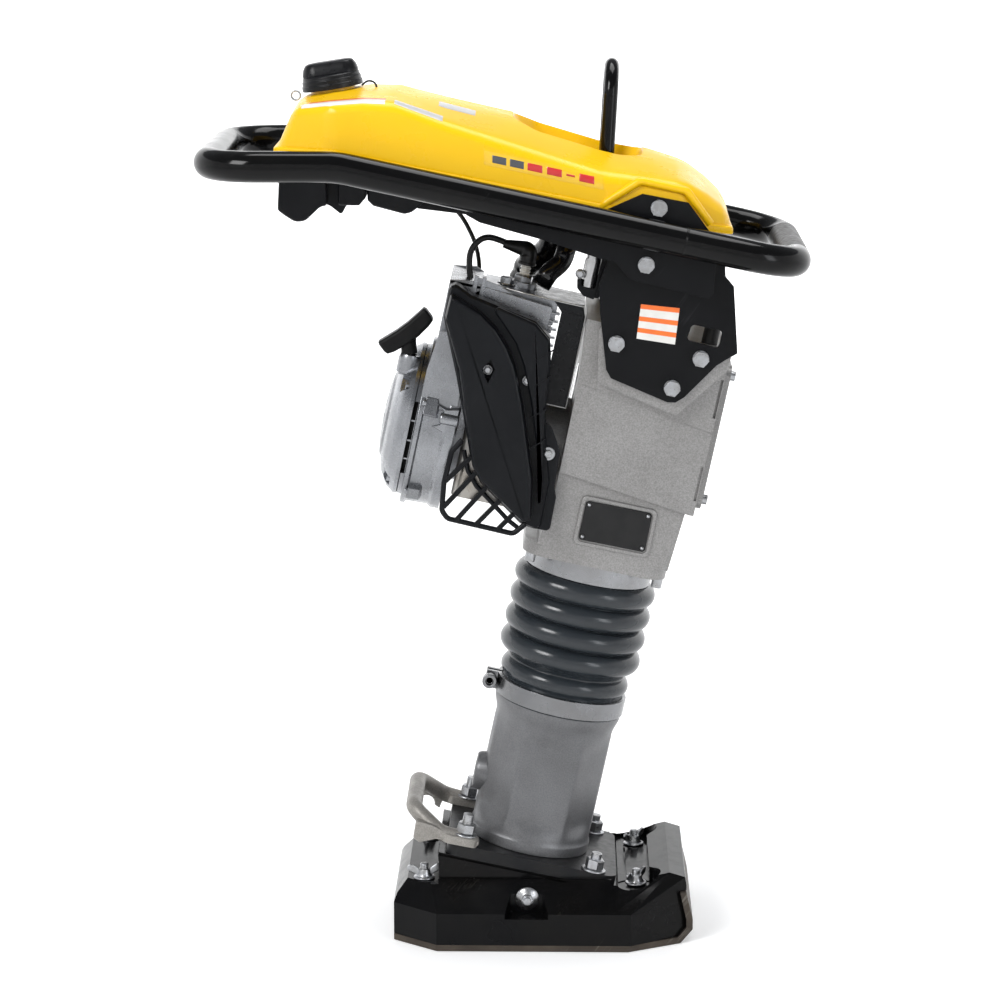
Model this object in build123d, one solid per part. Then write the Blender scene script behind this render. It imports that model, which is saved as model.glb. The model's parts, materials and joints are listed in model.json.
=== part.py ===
from build123d import *
from math import acos, cos, pi, radians, sin, tan
import os

# Petrol vibratory rammer ("jumping jack").  Millimetres.
# Row frame: origin on the floor under the middle of the sole, +X the way the machine travels,
# +Y the machine's left side, +Z up.
# Leg frame: the upper machine and the leg are square to an axis that leans forward by TILT,
# so most pieces are drawn with z up the leg and x square to it, then set on the shoe by in_leg().

# ---- driving dimensions ------------------------------------------------------------------
TILT = 12.0
LEG_X = -31.0

SOLE_T = 7.5
SHOE_REAR = -163.0
SHOE_FRONT = 177.0
SHOE_HALF_W = 140.0
SHOE_EDGE_Z = 44.0
SHOE_TOP_Z = 61.0
STUD_R = 6.0
STUD_Y = 75.0
STUD_REAR = -75.0
STUD_FRONT = 77.0
MOUNT_Z0 = 80.0
MOUNT_Z1 = 94.0
BRACKET_T = 10.0

LEG_R = 70.0
LEG_BORE_R = 58.0
LEG_BORE_TOP = 235.0
LEG_TOP = 262.0
SPIGOT_R = 66.0
SPIGOT_TOP = 284.0
ROD_R = 14.0
DISC_R = 52.0
DISC_Z0 = 150.0
DISC_T = 12.0

CLAMP_R = 75.0
CLAMP_TOP = 282.0
BELLOWS_TOP = 418.0
BELLOWS_BEAD_R = 13.3
BELLOWS_BEAD_AT = 68.3
FIT_GAP = 0.3
COLLAR_R = 72.2
COLLAR_TOP = 440.0

GUIDE_R = 43.0
GUIDE_WALL = 7.0
GUIDE_Z0 = 320.0
PISTON_Z0 = 388.0
PISTON_Z1 = 470.0
RUNNING = 0.05

CASE_REAR = -62.0
CASE_FRONT = 97.0
CASE_TOP = 715.0
FLANGE_Z0 = 440.0
FLANGE_Z1 = 455.0
CASE_LOW_W = 80.0
CASE_MID_W = 88.0
CASE_HIGH_W = 91.0

MODULE = 2.5
PRESSURE = 25.0
GEAR_TEETH = 47
PINION_TEETH = 12
BACKLASH = 0.25
ENGINE_Z = 553.0
GEAR_Z = ENGINE_Z + MODULE * (GEAR_TEETH + PINION_TEETH) / 2
THROW = 20.0
PIN_R = 10.0
ROD_LENGTH = 150.0
WRIST_R = 8.0

DRUM_R = 44.0
DRUM_WALL = 4.0
ENGINE_FRONT = -106.0
ENGINE_REAR = -182.0
CYLINDER_X = -141.0
BORE_R = 27.0
ENGINE_THROW = 19.5
ENGINE_ROD = 80.0
SHAFT_R = 12.0
FAN_R = 90.0
FAN_REAR = -227.0
STARTER_REAR = -258.0
STARTER_R = 86.0
REEL_R = 36.0
MUFFLER_WALL = 6.0

TUBE_R = 17.0
RAIL_Y = 155.0
RAIL_Z = 828.0
REAR_BAR_X = -358.5
REAR_BAR_Z = 886.0
FRONT_BAR_X = 280.0
BEND_R = 55.0
SEAM_X = 158.0
ROLLER_CORE_R = 11.0
ROLLER_HALF = 97.7

PLATE_Y = 110.0
PLATE_T = 6.0
STRIP_Y = 139.0
STRIP_T = 5.0
BOLT_R = 5.0
BOLT_HEAD = 9.0

HOOP_R = 8.0
HOOP_HALF = 35.0
HOOP_X = 73.0
HOOP_TOP = 992.0
CAP_R = 34.0
CAP_X = -229.6
CAP_Z = 957.5
CAP_LEAN = -9.0


# ---- small helpers -----------------------------------------------------------------------
def block(x0, x1, y0, y1, z0, z1):
    return Pos((x0 + x1) / 2, (y0 + y1) / 2, (z0 + z1) / 2) * Box(x1 - x0, y1 - y0, z1 - z0)


def along_x(r, x0, x1, y=0.0, z=0.0):
    return Pos((x0 + x1) / 2, y, z) * Rot(0, 90, 0) * Cylinder(r, x1 - x0)


def along_y(r, y0, y1, x=0.0, z=0.0):
    return Pos(x, (y0 + y1) / 2, z) * Rot(90, 0, 0) * Cylinder(r, y1 - y0)


def along_z(r, z0, z1, x=0.0, y=0.0):
    return Pos(x, y, (z0 + z1) / 2) * Cylinder(r, z1 - z0)


def outline(points, corner=0.0):
    face = make_face(Polyline(*points, close=True))
    return fillet(face.vertices(), corner) if corner else face


def slab(points, y0, y1, corner=0.0, taper=0.0):
    """An outline in x and z, made solid from y0 to y1 (y0 is the lower one)."""
    face = Plane.XZ.offset(-y1) * outline(points, corner)
    return extrude(face, amount=y1 - y0, taper=taper)


def plan(x0, x1, half, cut_x0, cut_x1, cut_y):
    """A rectangle in x and y with its four corners cut off."""
    return [(x0, half - cut_y), (x0, cut_y - half), (x0 + cut_x0, -half), (x1 - cut_x1, -half),
            (x1, cut_y - half), (x1, half - cut_y), (x1 - cut_x1, half), (x0 + cut_x0, half)]


def turned(points):
    """A profile of radius and height, turned about z."""
    return revolve(Plane.XZ * outline(points), axis=Axis.Z)


def mirrored(shape):
    return [shape, mirror(shape, about=Plane.XZ)]


def both(shape):
    pair = mirrored(shape)
    return pair[0] + pair[1]


def bent_rod(points, radii, r):
    path = FilletPolyline(*points, radius=radii)
    return sweep(Plane(origin=path @ 0, z_dir=path % 0) * Circle(r), path=path)


def between(start, end, r):
    way = Vector(*end) - Vector(*start)
    return extrude(Plane(origin=start, z_dir=way) * Circle(r), amount=way.length)


def in_leg(shape):
    return Location((LEG_X, 0, 0), (0, TILT, 0)) * shape


def to_row(x, y, z):
    """A point of the leg frame, in the row frame."""
    t = radians(TILT)
    return (LEG_X + x * cos(t) + z * sin(t), y, z * cos(t) - x * sin(t))


def hexagon(across, z0, z1, x=0.0, y=0.0):
    return Pos(x, y, z0) * extrude(RegularPolygon(across / 2, 6, major_radius=False), amount=z1 - z0)


def gear_outline(teeth, turn):
    """Involute teeth; a tooth is centred turn degrees round from +x."""
    pitch_r = MODULE * teeth / 2
    base_r = pitch_r * cos(radians(PRESSURE))
    tip_r = pitch_r + MODULE
    root_r = pitch_r - 1.25 * MODULE
    inv_pitch = tan(radians(PRESSURE)) - radians(PRESSURE)
    half = pi / (2 * teeth) - BACKLASH / (2 * pitch_r) + inv_pitch
    flank = []
    start_r = max(base_r, root_r + 0.2)
    for step in range(4):
        r = start_r + (tip_r - start_r) * step / 3
        angle = acos(min(1.0, base_r / r))
        flank.append((r, half - (tan(angle) - angle)))
    side = [(root_r, flank[0][1])] + flank
    points = []
    for tooth in range(teeth):
        middle = radians(turn) + 2 * pi * tooth / teeth
        for r, a in side:
            points.append((r * cos(middle - a), r * sin(middle - a)))
        for r, a in reversed(side):
            points.append((r * cos(middle + a), r * sin(middle + a)))
    return points


def gear_x(teeth, turn, x0, x1, z):
    """A gear whose axle runs along x; turn is counted from +y towards +z."""
    face = make_face(Polyline(*gear_outline(teeth, turn), close=True))
    return Pos(x0, 0, z) * extrude(Plane.YZ * face, amount=x1 - x0)


# ---- shoe ---------------------------------------------------------------------------------
def sole_plate():
    side = [(SHOE_REAR, 0), (163, 0), (SHOE_FRONT, 14), (SHOE_FRONT, 26), (169, 60), (162, 60),
            (169.5, 26), (169.5, 17), (160, SOLE_T), (SHOE_REAR, SOLE_T)]
    shape = slab(side, -SHOE_HALF_W, SHOE_HALF_W)
    edge = extrude(outline(plan(SHOE_REAR, SHOE_FRONT, SHOE_HALF_W, 50, 74, 40)), amount=80)
    return shape & edge


def wedge():
    return Pos(3, 0, 0) * extrude(Plane.XY.offset(30) * RectangleRounded(206, 176, 12),
                                  amount=MOUNT_Z0 - 30)


HEEL_BOLT_X = -129.0
TOE_BOLT_X = 112.7
WING_Y = 75.0
WING_R = 5.0
WING_SEAT_R = 21.0
HEEL_SEAT = 66.0
TOE_SEAT = 60.5
SIDE_BOLT_X = -11.0
SIDE_BOLT_Z = 54.0
POCKET_Y = 112.0


def shoe_body():
    low = extrude(Plane.XY.offset(SOLE_T) * outline(plan(SHOE_REAR, 170, SHOE_HALF_W, 50, 64, 42)),
                  amount=SHOE_EDGE_Z - SOLE_T)
    rim = Plane.XY.offset(SHOE_EDGE_Z) * outline(plan(SHOE_REAR, 170, SHOE_HALF_W, 50, 64, 42))
    crown = Plane.XY.offset(SHOE_TOP_Z + 9) * outline(plan(-152, 170, 92, 30, 40, 26))
    toe = block(130, 170, -104, 104, 40, 82)
    side = [(SHOE_REAR, SOLE_T), (160, SOLE_T), (169.5, 17), (169.5, 26), (162, 60), (169.5, 66),
            (152, 81), (131, TOE_SEAT), (96, TOE_SEAT), (84, 110), (-100, 110), (-112, HEEL_SEAT),
            (-148, HEEL_SEAT), (SHOE_REAR, 48)]
    shape = (low + loft([rim, crown]) + toe) & slab(side, -SHOE_HALF_W, SHOE_HALF_W)
    shape += in_leg(wedge()) & block(-130, 130, -100, 100, 40, 130)
    shape -= in_leg(block(-96, 108, -90, 90, MOUNT_Z0, 150))
    for pocket in mirrored(block(-37, 15, -150, -POCKET_Y, 38, 80)):
        shape -= pocket
    shape -= in_leg(stud_group(STUD_R, 56, MOUNT_Z0 + 1, MOUNT_Z0 + 1))
    for x in (HEEL_BOLT_X, TOE_BOLT_X):
        for y in (-WING_Y, WING_Y):
            shape -= along_z(WING_R, 40, 90, x, y)
            shape -= along_z(WING_SEAT_R, HEEL_SEAT if x < 0 else TOE_SEAT, 90, x, y)
    for bolt in mirrored(along_y(WING_R, -POCKET_Y - 1, -94, SIDE_BOLT_X, SIDE_BOLT_Z)):
        shape -= bolt
    return shape


def wing_bolts():
    shapes = []
    for x, seat in ((HEEL_BOLT_X, HEEL_SEAT), (TOE_BOLT_X, TOE_SEAT)):
        for y in (-WING_Y, WING_Y):
            bolt = along_z(WING_R, 40, seat + 14) + along_z(11, seat, seat + 2)
            bolt += along_z(8, seat + 2, seat + 9)
            for half_turn in (0, 180):
                ear = Rot(0, -28, 0) * block(3, 18, -1.6, 1.6, 0, 9)
                bolt += Pos(0, 0, seat + 3) * Rot(0, 0, half_turn + 65) * ear
            shapes.append(Pos(x, y, 0) * bolt)
    return shapes


def side_bolts():
    bolt = along_y(WING_R, -POCKET_Y - 14, -94, SIDE_BOLT_X, SIDE_BOLT_Z)
    bolt += along_y(12, -POCKET_Y - 2, -POCKET_Y, SIDE_BOLT_X, SIDE_BOLT_Z)
    bolt += along_y(8, -POCKET_Y - 8, -POCKET_Y - 2, SIDE_BOLT_X, SIDE_BOLT_Z)
    return mirrored(bolt)


def shoe_mount_plate():
    shape = Pos(6, 0, 0) * extrude(Plane.XY.offset(MOUNT_Z0) * RectangleRounded(196, 172, 14),
                                   amount=MOUNT_Z1 - MOUNT_Z0)
    shape -= stud_group(STUD_R, 70, 100, 100)
    return in_leg(shape)


def stud_group(r, z0, z1_rear, z1_front):
    shape = along_z(r, z0, z1_rear, STUD_REAR, -STUD_Y)
    shape += along_z(r, z0, z1_rear, STUD_REAR, STUD_Y)
    shape += along_z(r, z0, z1_front, STUD_FRONT, -STUD_Y)
    shape += along_z(r, z0, z1_front, STUD_FRONT, STUD_Y)
    return shape


def shoe_studs():
    return [in_leg(solid) for solid in stud_group(STUD_R, 56, 129, 115).solids()]


def shoe_nuts():
    shapes = []
    for x, seat in ((STUD_REAR, MOUNT_Z1 + BRACKET_T), (STUD_FRONT, MOUNT_Z1)):
        for y in (-STUD_Y, STUD_Y):
            washer = along_z(14, seat, seat + 2.5, x, y) - along_z(STUD_R, 80, 140, x, y)
            nut = hexagon(19, seat + 2.5, seat + 14, x, y) - along_z(STUD_R, 80, 140, x, y)
            shapes += [in_leg(washer), in_leg(nut)]
    return shapes


def carry_handle():
    z = MOUNT_Z1 + 5
    corners = [(-66, -75, z), (-104, -75, z), (-139.5, -58, 118.5), (-139.5, 58, 118.5), (-104, 75, z),
               (-66, 75, z)]
    shape = bent_rod(corners, [26, 17, 17, 26], 8)
    shape = shape & block(-170, -60, -100, 100, MOUNT_Z1, 140)
    for pad in mirrored(block(-92, -60, -88, -62, MOUNT_Z1, MOUNT_Z1 + BRACKET_T)):
        shape += pad
    for lug in mirrored(block(-112, -86, -80, -70, MOUNT_Z1, MOUNT_Z1 + 11)):
        shape += lug
    shape -= stud_group(STUD_R, 80, 130, 130) + stud_group(15, MOUNT_Z1 + BRACKET_T, 130, 130)
    shape -= along_z(LEG_R + 0.2, 90, 130)
    return in_leg(shape)


# ---- leg ----------------------------------------------------------------------------------
def leg_casting():
    shape = turned([(LEG_BORE_R, MOUNT_Z1), (LEG_R, MOUNT_Z1), (LEG_R, 108), (LEG_R - 1.5, 110),
                    (LEG_R - 2, 160), (LEG_R - 2.5, 236), (LEG_R + 3, 256), (LEG_R + 3, LEG_TOP),
                    (SPIGOT_R, LEG_TOP), (SPIGOT_R, SPIGOT_TOP), (ROD_R + RUNNING, SPIGOT_TOP),
                    (ROD_R + RUNNING, LEG_BORE_TOP), (LEG_BORE_R, LEG_BORE_TOP)])
    boss = along_x(21, -77, -58, 0, 161) & along_z(76, 130, 200)
    shape += boss - along_z(60, 120, 210)
    shape -= along_x(13, -80, -70, 0, 161)
    for flat in mirrored(Pos(0, -64.5, 175) * Rot(2, 0, 0) * block(-34, 34, -12, 0, -60, 58)):
        shape -= flat
    return in_leg(shape)


def sight_glass():
    return in_leg(along_x(13, -75.5, -70, 0, 161))


def coil(z0, z1, turns, r, wire):
    pitch = (z1 - z0 - 2 * wire) / turns
    path = Pos(0, 0, z0 + wire) * Helix(pitch=pitch, height=pitch * turns, radius=r)
    return sweep(Plane(origin=path @ 0, z_dir=path % 0) * Circle(wire), path=path)


def spring_lower():
    return in_leg(coil(MOUNT_Z1 + 0.5, DISC_Z0 - 0.5, 3, 40, 5))


def spring_upper():
    return in_leg(coil(DISC_Z0 + DISC_T + 0.5, LEG_BORE_TOP - 0.5, 4, 40, 5))


def bellows():
    top_bead = 405.0
    foot_z = LEG_TOP + 0.5
    wall = Plane.XZ * outline([(62, foot_z), (70.5, foot_z), (70.5, BELLOWS_TOP), (62, BELLOWS_TOP)])
    for bead in range(4):
        wall += Plane.XZ * Pos(BELLOWS_BEAD_AT, top_bead - bead * 26.5) * Circle(BELLOWS_BEAD_R)
    wall += Plane.XZ * Pos(62.5, 293.5) * Circle(11.8)
    wall -= Plane.XZ * Pos(57.0, 350) * Rectangle(20, 200)
    shape = revolve(wall, axis=Axis.Z)
    shape -= along_z(SPIGOT_R, 250, SPIGOT_TOP)
    shape -= along_z(70.5, 250, CLAMP_TOP) - along_z(70.4, 240, CLAMP_TOP + 1)
    return in_leg(shape & along_z(90, 200, BELLOWS_TOP))


def bellows_clamp():
    ring = along_z(CLAMP_R, LEG_TOP, CLAMP_TOP) - along_z(70.5, LEG_TOP - 1, CLAMP_TOP + 1)
    for side in (-1, 1):
        ring += block(-88, -72, side * 6 - 3, side * 6 + 3, LEG_TOP, CLAMP_TOP) - along_z(70.5, 250, 290)
    ring -= block(-80, -60, -3, 3, LEG_TOP - 1, CLAMP_TOP + 1)
    screw = along_y(3, -14, 14, -82, 272) + along_y(7.5, -17, -9, -82, 272) + along_y(5.5, 9, 14, -82, 272)
    ring -= along_y(3, -10, 10, -82, 272)
    return [in_leg(ring), in_leg(screw)]


# ---- drive inside the crankcase ----------------------------------------------------------
def guide_cylinder():
    shape = along_z(GUIDE_R + GUIDE_WALL, GUIDE_Z0, FLANGE_Z1 + 1)
    shape -= along_z(GUIDE_R + RUNNING, GUIDE_Z0 - 1, FLANGE_Z1 + 2)
    return in_leg(shape)


def guide_piston():
    shape = along_z(GUIDE_R, PISTON_Z0, PISTON_Z1)
    shape -= along_z(GUIDE_R - 5, PISTON_Z0 + 12, PISTON_Z1 + 1)
    shape -= along_z(ROD_R, PISTON_Z0 - 1, PISTON_Z0 + 13)
    return in_leg(shape)


def piston_rod():
    shape = along_z(ROD_R, DISC_Z0 - 10, PISTON_Z0 + 12) + along_z(DISC_R, DISC_Z0, DISC_Z0 + DISC_T)
    shape += along_z(ROD_R + 6, PISTON_Z0 - 8, PISTON_Z0)
    return in_leg(shape)


def con_rod():
    big_z = GEAR_Z - THROW
    small_z = big_z - ROD_LENGTH
    shape = along_x(22, -11, 11, 0, big_z) + along_x(14, -9, 9, 0, small_z)
    shape += block(-7, 7, -9, 9, small_z, big_z)
    shape -= along_x(PIN_R + RUNNING, -12, 12, 0, big_z)
    shape -= along_x(WRIST_R, -12, 12, 0, small_z)
    return in_leg(shape)


def wrist_pin():
    return in_leg(along_x(WRIST_R, -20, 20, 0, GEAR_Z - THROW - ROD_LENGTH))


def crank_gear():
    shape = gear_x(GEAR_TEETH, -90, -44, -28, GEAR_Z)
    shape += along_x(12, CASE_REAR + 1, -44, 0, GEAR_Z)
    shape += along_x(PIN_R, -28, 14, 0, GEAR_Z - THROW)
    shape += along_x(40, 14, 26, 0, GEAR_Z)
    shape += along_x(14, 26, 90, 0, GEAR_Z)
    return in_leg(shape)


def pinion_drum():
    shape = along_x(DRUM_R, -98, -68, 0, ENGINE_Z) - along_x(DRUM_R - DRUM_WALL, -99, -72, 0, ENGINE_Z)
    shape += along_x(10, -70, -43, 0, ENGINE_Z)
    shape += gear_x(PINION_TEETH, 90 + 180 / PINION_TEETH, -45, -26, ENGINE_Z)
    return in_leg(shape)


def gearbox_bearings():
    rings = [(20, 10, -62, -48, ENGINE_Z), (24, 12, -61, -48, GEAR_Z), (26, 14, 74, 89, GEAR_Z)]
    return [in_leg(along_x(outer, x0, x1, 0, z) - along_x(inner + RUNNING, x0 - 1, x1 + 1, 0, z))
            for outer, inner, x0, x1, z in rings]


def crankcase():
    high = slab([(-60, 644), (CASE_FRONT, 619), (CASE_FRONT, 706), (90, CASE_TOP), (-66, CASE_TOP)],
                -CASE_HIGH_W, CASE_HIGH_W)
    middle = slab([(-59, 541), (CASE_FRONT - 6, 523), (CASE_FRONT, 523), (CASE_FRONT, 620), (-60, 645)],
                  -CASE_MID_W, CASE_MID_W)
    low = slab([(-66, FLANGE_Z1 - 1), (83, FLANGE_Z1 - 1), (85, 480), (88, 523), (88, 530), (-59, 547),
                (-59, 500)], -CASE_LOW_W, CASE_LOW_W)
    shape = high + middle + low
    shape += Pos(2, 0, 0) * extrude(Plane.XY.offset(FLANGE_Z0) * RectangleRounded(164, 2 * CASE_LOW_W, 30),
                                    amount=FLANGE_Z1 - FLANGE_Z0)
    shape -= block(-46, 76, -66, 66, 478, 700) + block(70, CASE_FRONT + 1, -62, 62, 536, 686)
    shape -= along_z(GUIDE_R + GUIDE_WALL, FLANGE_Z0 - 1, 480)
    shape += along_x(56, ENGINE_FRONT, -50, 0, ENGINE_Z) - along_x(48, ENGINE_FRONT - 1, -62, 0, ENGINE_Z)
    shape -= along_x(20, -70, -40, 0, ENGINE_Z)
    shape -= along_x(24, -70, -40, 0, GEAR_Z)
    for pads in mirrored(plate_pads()):
        shape += pads
    for bolts in mirrored(plate_bolt_shanks()):
        shape -= bolts
    for z0, z1 in ((636, 680), (540, 580)):
        for slot in mirrored(block(93, 96, -CASE_HIGH_W - 1, -CASE_LOW_W - 5, z0, z1)):
            shape -= slot
    for x, z in cover_screw_places():
        for screw in mirrored(along_x(3, 80, 100, -60, z)):
            shape -= screw
    return in_leg(shape)


PLATE_BOLTS = [(-29.4, 698.0), (64.5, 701.0), (40.8, 662.7)]
MOUNT_BOLT = (-17.7, 793.0)
TANK_BOLT = (-17.5, 856.0)


def plate_pads():
    shape = slab([(-40, 650), (52, 632), (100, 698), (100, 713), (-52, 713)], -PLATE_Y + PLATE_T, -80, 6)
    return shape & block(-60, CASE_FRONT, -120, -80, 600, 714)


def plate_bolt_shanks():
    shape = along_y(BOLT_R, -PLATE_Y, -84, *PLATE_BOLTS[0])
    for x, z in PLATE_BOLTS[1:]:
        shape += along_y(BOLT_R, -PLATE_Y, -84, x, z)
    return shape


def cover_screw_places():
    return [(90, 682), (90, 539)]


def crankcase_cover():
    shape = Pos(CASE_FRONT, 0, 610.5) * extrude(Plane.YZ * RectangleRounded(150, 165, 14), amount=7)
    shape += along_x(34, 72, CASE_FRONT, 0, GEAR_Z)
    shape -= along_x(26, 71, 90, 0, GEAR_Z)
    for x, z in cover_screw_places():
        for screw in mirrored(along_x(3, 90, 110, -60, z)):
            shape -= screw
    return in_leg(shape)


def crankcase_screws():
    shapes = []
    for x, z in cover_screw_places():
        for screw in mirrored(along_x(3, x, 104, -60, z) + along_x(5.5, 104, 110, -60, z)):
            shapes.append(in_leg(screw))
    for x in (-69.6, 75.7):
        for y in (-60, 60):
            shapes.append(in_leg(along_z(6, 429, FLANGE_Z0, x, y)))
    return shapes


def bellows_collar():
    shape = along_z(COLLAR_R, BELLOWS_TOP + FIT_GAP, COLLAR_TOP) - along_z(GUIDE_R + GUIDE_WALL, 400, 450)
    return in_leg(shape - along_z(60, 400, COLLAR_TOP - 6))


def name_plate():
    shape = slab([(-22.5, 514), (52.5, 515), (53.5, 470), (-22.5, 469)], -CASE_LOW_W - 1.5, -CASE_LOW_W, 4)
    return in_leg(shape)


# ---- engine --------------------------------------------------------------------------------
def engine_crankcase():
    shape = block(ENGINE_REAR, ENGINE_FRONT, -52, 52, 498, 604)
    shape = fillet(shape.edges().filter_by(Axis.X), 14)
    shape -= along_x(42, ENGINE_REAR + 8, ENGINE_FRONT - 6, 0, ENGINE_Z)
    shape -= along_x(SHAFT_R + RUNNING, -200, -90, 0, ENGINE_Z)
    shape -= along_z(BORE_R, 580, 610, CYLINDER_X)
    return in_leg(shape)


def cylinder():
    shape = along_z(34, 604, 702, CYLINDER_X)
    for fin in range(10):
        z = 612 + fin * 9
        shape += block(CYLINDER_X - 40, CYLINDER_X + 41, -45, 45, z, z + 3)
    shape += block(CYLINDER_X - 42, CYLINDER_X + 42, -46, 46, 700, 722)
    shape += along_z(16, 720, 730, CYLINDER_X - 1, -10)
    shape -= along_z(BORE_R, 603, 708, CYLINDER_X)
    shape -= along_z(6, 714, 731, CYLINDER_X - 1, -10)
    return in_leg(shape)


def crankshaft():
    shape = along_x(SHAFT_R, FAN_REAR + 4, -145, 0, ENGINE_Z) + along_x(SHAFT_R, -137, -78, 0, ENGINE_Z)
    for x0 in (-154, -136):
        shape += along_x(34, x0, x0 + 8, 0, ENGINE_Z)
    shape += along_x(7, -150, -130, 0, ENGINE_Z - ENGINE_THROW)
    return in_leg(shape)


def engine_con_rod():
    big_z = ENGINE_Z - ENGINE_THROW
    small_z = big_z + ENGINE_ROD
    shape = along_x(12.5, -145, -137, 0, big_z) + along_x(6.5, -145, -137, 0, small_z)
    shape += block(-144, -138, -4, 4, big_z, small_z)
    shape += along_x(4, -149, -133, 0, small_z)
    shape -= along_x(7 + RUNNING, -146, -136, 0, big_z)
    return in_leg(shape)


def engine_piston():
    crown_z = ENGINE_Z - ENGINE_THROW + ENGINE_ROD + 2 * ENGINE_THROW + 8
    shape = along_z(BORE_R - RUNNING, 628, crown_z + 8, CYLINDER_X)
    shape -= block(CYLINDER_X - 10, CYLINDER_X + 10, -40, 40, 620, crown_z)
    return in_leg(shape)


def flywheel():
    shape = along_x(66, -214, -206, 0, ENGINE_Z) + along_x(24, -214, -190, 0, ENGINE_Z)
    for blade in range(16):
        vane = block(-207, -192, 34, 66, ENGINE_Z - 1.5, ENGINE_Z + 1.5)
        shape += vane.rotate(Axis((0, 0, ENGINE_Z), (1, 0, 0)), blade * 22.5)
    shape -= along_x(SHAFT_R, -240, -180, 0, ENGINE_Z)
    return in_leg(shape)


def clutch_shoes():
    ring = along_x(DRUM_R - DRUM_WALL - 0.6, -96, -80, 0, ENGINE_Z) - along_x(SHAFT_R, -97, -79, 0, ENGINE_Z)
    gap = block(-97, -79, -45, 45, ENGINE_Z - 2, ENGINE_Z + 2) - along_x(18, -98, -78, 0, ENGINE_Z)
    return in_leg(ring - gap)


def starter_pulley():
    shape = along_x(REEL_R + 4, -246, -243, 0, ENGINE_Z) + along_x(REEL_R + 4, -233, -230, 0, ENGINE_Z)
    shape += along_x(REEL_R, -243, -233, 0, ENGINE_Z)
    shape -= along_x(6 + RUNNING, -250, -228, 0, ENGINE_Z)
    return in_leg(shape)


def starter_cover():
    shape = along_x(STARTER_R, -250, FAN_REAR, 0, ENGINE_Z)
    shape = chamfer(shape.edges().filter_by(GeomType.CIRCLE).sort_by(Axis.X)[0], 12)
    shape += along_x(42, STARTER_REAR, -250, 0, ENGINE_Z)
    shape += along_z(11, 600, 627, -248, ROPE_START[1])
    shape -= along_x(STARTER_R - 14, -248, FAN_REAR + 1, 0, ENGINE_Z)
    shape += along_x(6, -249, -229, 0, ENGINE_Z)
    shape -= between(ROPE_START, STEM_END, ROPE_R + 1.5)
    for step in range(24):
        slot = block(-238, FAN_REAR - 4, -4, 4, ENGINE_Z + 60, ENGINE_Z + 100)
        turn = step * 15
        if abs(turn - 15) > 20 and turn < 345:
            shape -= slot.rotate(Axis((0, 0, ENGINE_Z), (1, 0, 0)), turn)
    return in_leg(shape)


def fan_housing():
    shape = along_x(FAN_R, FAN_REAR, ENGINE_REAR, 0, ENGINE_Z) + block(-222, -186, -62, 62, 560, 722)
    shape -= along_x(FAN_R - 4, FAN_REAR + 4, ENGINE_REAR - 3, 0, ENGINE_Z)
    shape -= block(-219, -185, -58, 58, 560, 718)
    shape -= along_x(STARTER_R - 14, FAN_REAR - 1, FAN_REAR + 5, 0, ENGINE_Z)
    shape -= along_x(40, -190, ENGINE_REAR + 1, 0, ENGINE_Z)
    return in_leg(shape)


def spark_plug():
    x = CYLINDER_X - 1
    shape = along_z(6, 714, 731, x, -10) + hexagon(20, 730, 738, x, -10) + along_z(4.5, 738, 758, x, -10)
    return in_leg(shape)


LEAD_END = (-162.0, -10.0, 762.5)
LEAD_R = 3.5


def plug_boot():
    x = CYLINDER_X - 1
    shape = along_z(9, 744, 768, x, -10) + along_x(7, LEAD_END[0], x, -10, LEAD_END[2])
    return in_leg(shape - along_z(4.5, 743, 758, x, -10))


def ignition_lead():
    route = [(-197, -10, 722), (-208, -10, 747), (-192, -10, 768), LEAD_END]
    return in_leg(bent_rod(route, [20, 19], LEAD_R))


def muffler():
    shape = block(-172, -100, -92, -60, 490, 650)
    shape = fillet(shape.edges().filter_by(Axis.Z), 12)
    shape -= block(-172 + MUFFLER_WALL, -100 - MUFFLER_WALL, -92 + MUFFLER_WALL, -60 - MUFFLER_WALL, 502, 638)
    shape += along_y(14, -62, -46, CYLINDER_X, 640)
    return in_leg(shape)


GUARD_BASE = [(-218, 717), (-219, 684), (-191, 623), (-160, 544), (-140, 513), (-92, 474), (-63, 474),
              (-64, 516), (-80, 558), (-88, 571), (-95, 662), (-102, 691), (-111, 700)]
GUARD_PANEL = [(-214, 711), (-215, 686), (-188, 624), (-157, 546), (-137, 517), (-92, 482), (-88, 524),
               (-104, 586), (-128, 650), (-146, 676), (-158, 686)]


def muffler_guard():
    base = slab(GUARD_BASE, -100, -74, 3)
    panel = slab(GUARD_PANEL, -122, -100, 2, 0)
    inner = Plane.XZ.offset(73) * offset(outline(GUARD_BASE), -3)
    hollow = extrude(inner, amount=24)
    inner_panel = Plane.XZ.offset(96) * offset(outline(GUARD_PANEL), -3)
    hollow += extrude(inner_panel, amount=23)
    shape = base + panel - hollow
    grille = slab([(-158, 558), (-168, 556), (-175, 500), (-173, 470), (-96, 464), (-84, 476), (-132, 519),
                   (-150, 550)], -104, -100)
    window = slab([(-166, 542), (-171, 500), (-169, 475), (-102, 469), (-142, 507), (-162, 535)], -105, -99)
    bars = None
    for bar in range(4):
        x = -160 + bar * 17
        strip = slab([(x - 10, 462), (x - 5, 462), (x + 14, 530), (x + 9, 530)], -104, -100)
        bars = strip if bars is None else bars + strip
    shape += (grille - window) + (bars & grille)
    for x, z in ((-160, 640), (-114, 636)):
        shape -= along_y(6, -123, -118, x, z)
    shape -= block(-175, -97, -93, -73, 487, 653)
    return in_leg(shape)


def heat_shield():
    upright = slab([(-98, 607), (-66, 607), (-67, 712), (-98, 712)], -60, -58)
    top = block(-98, -70, -60, 40, 712, 714)
    foot = block(-98, -66, -58, -46, 607, 609)
    return in_leg(upright + top + foot)


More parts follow.
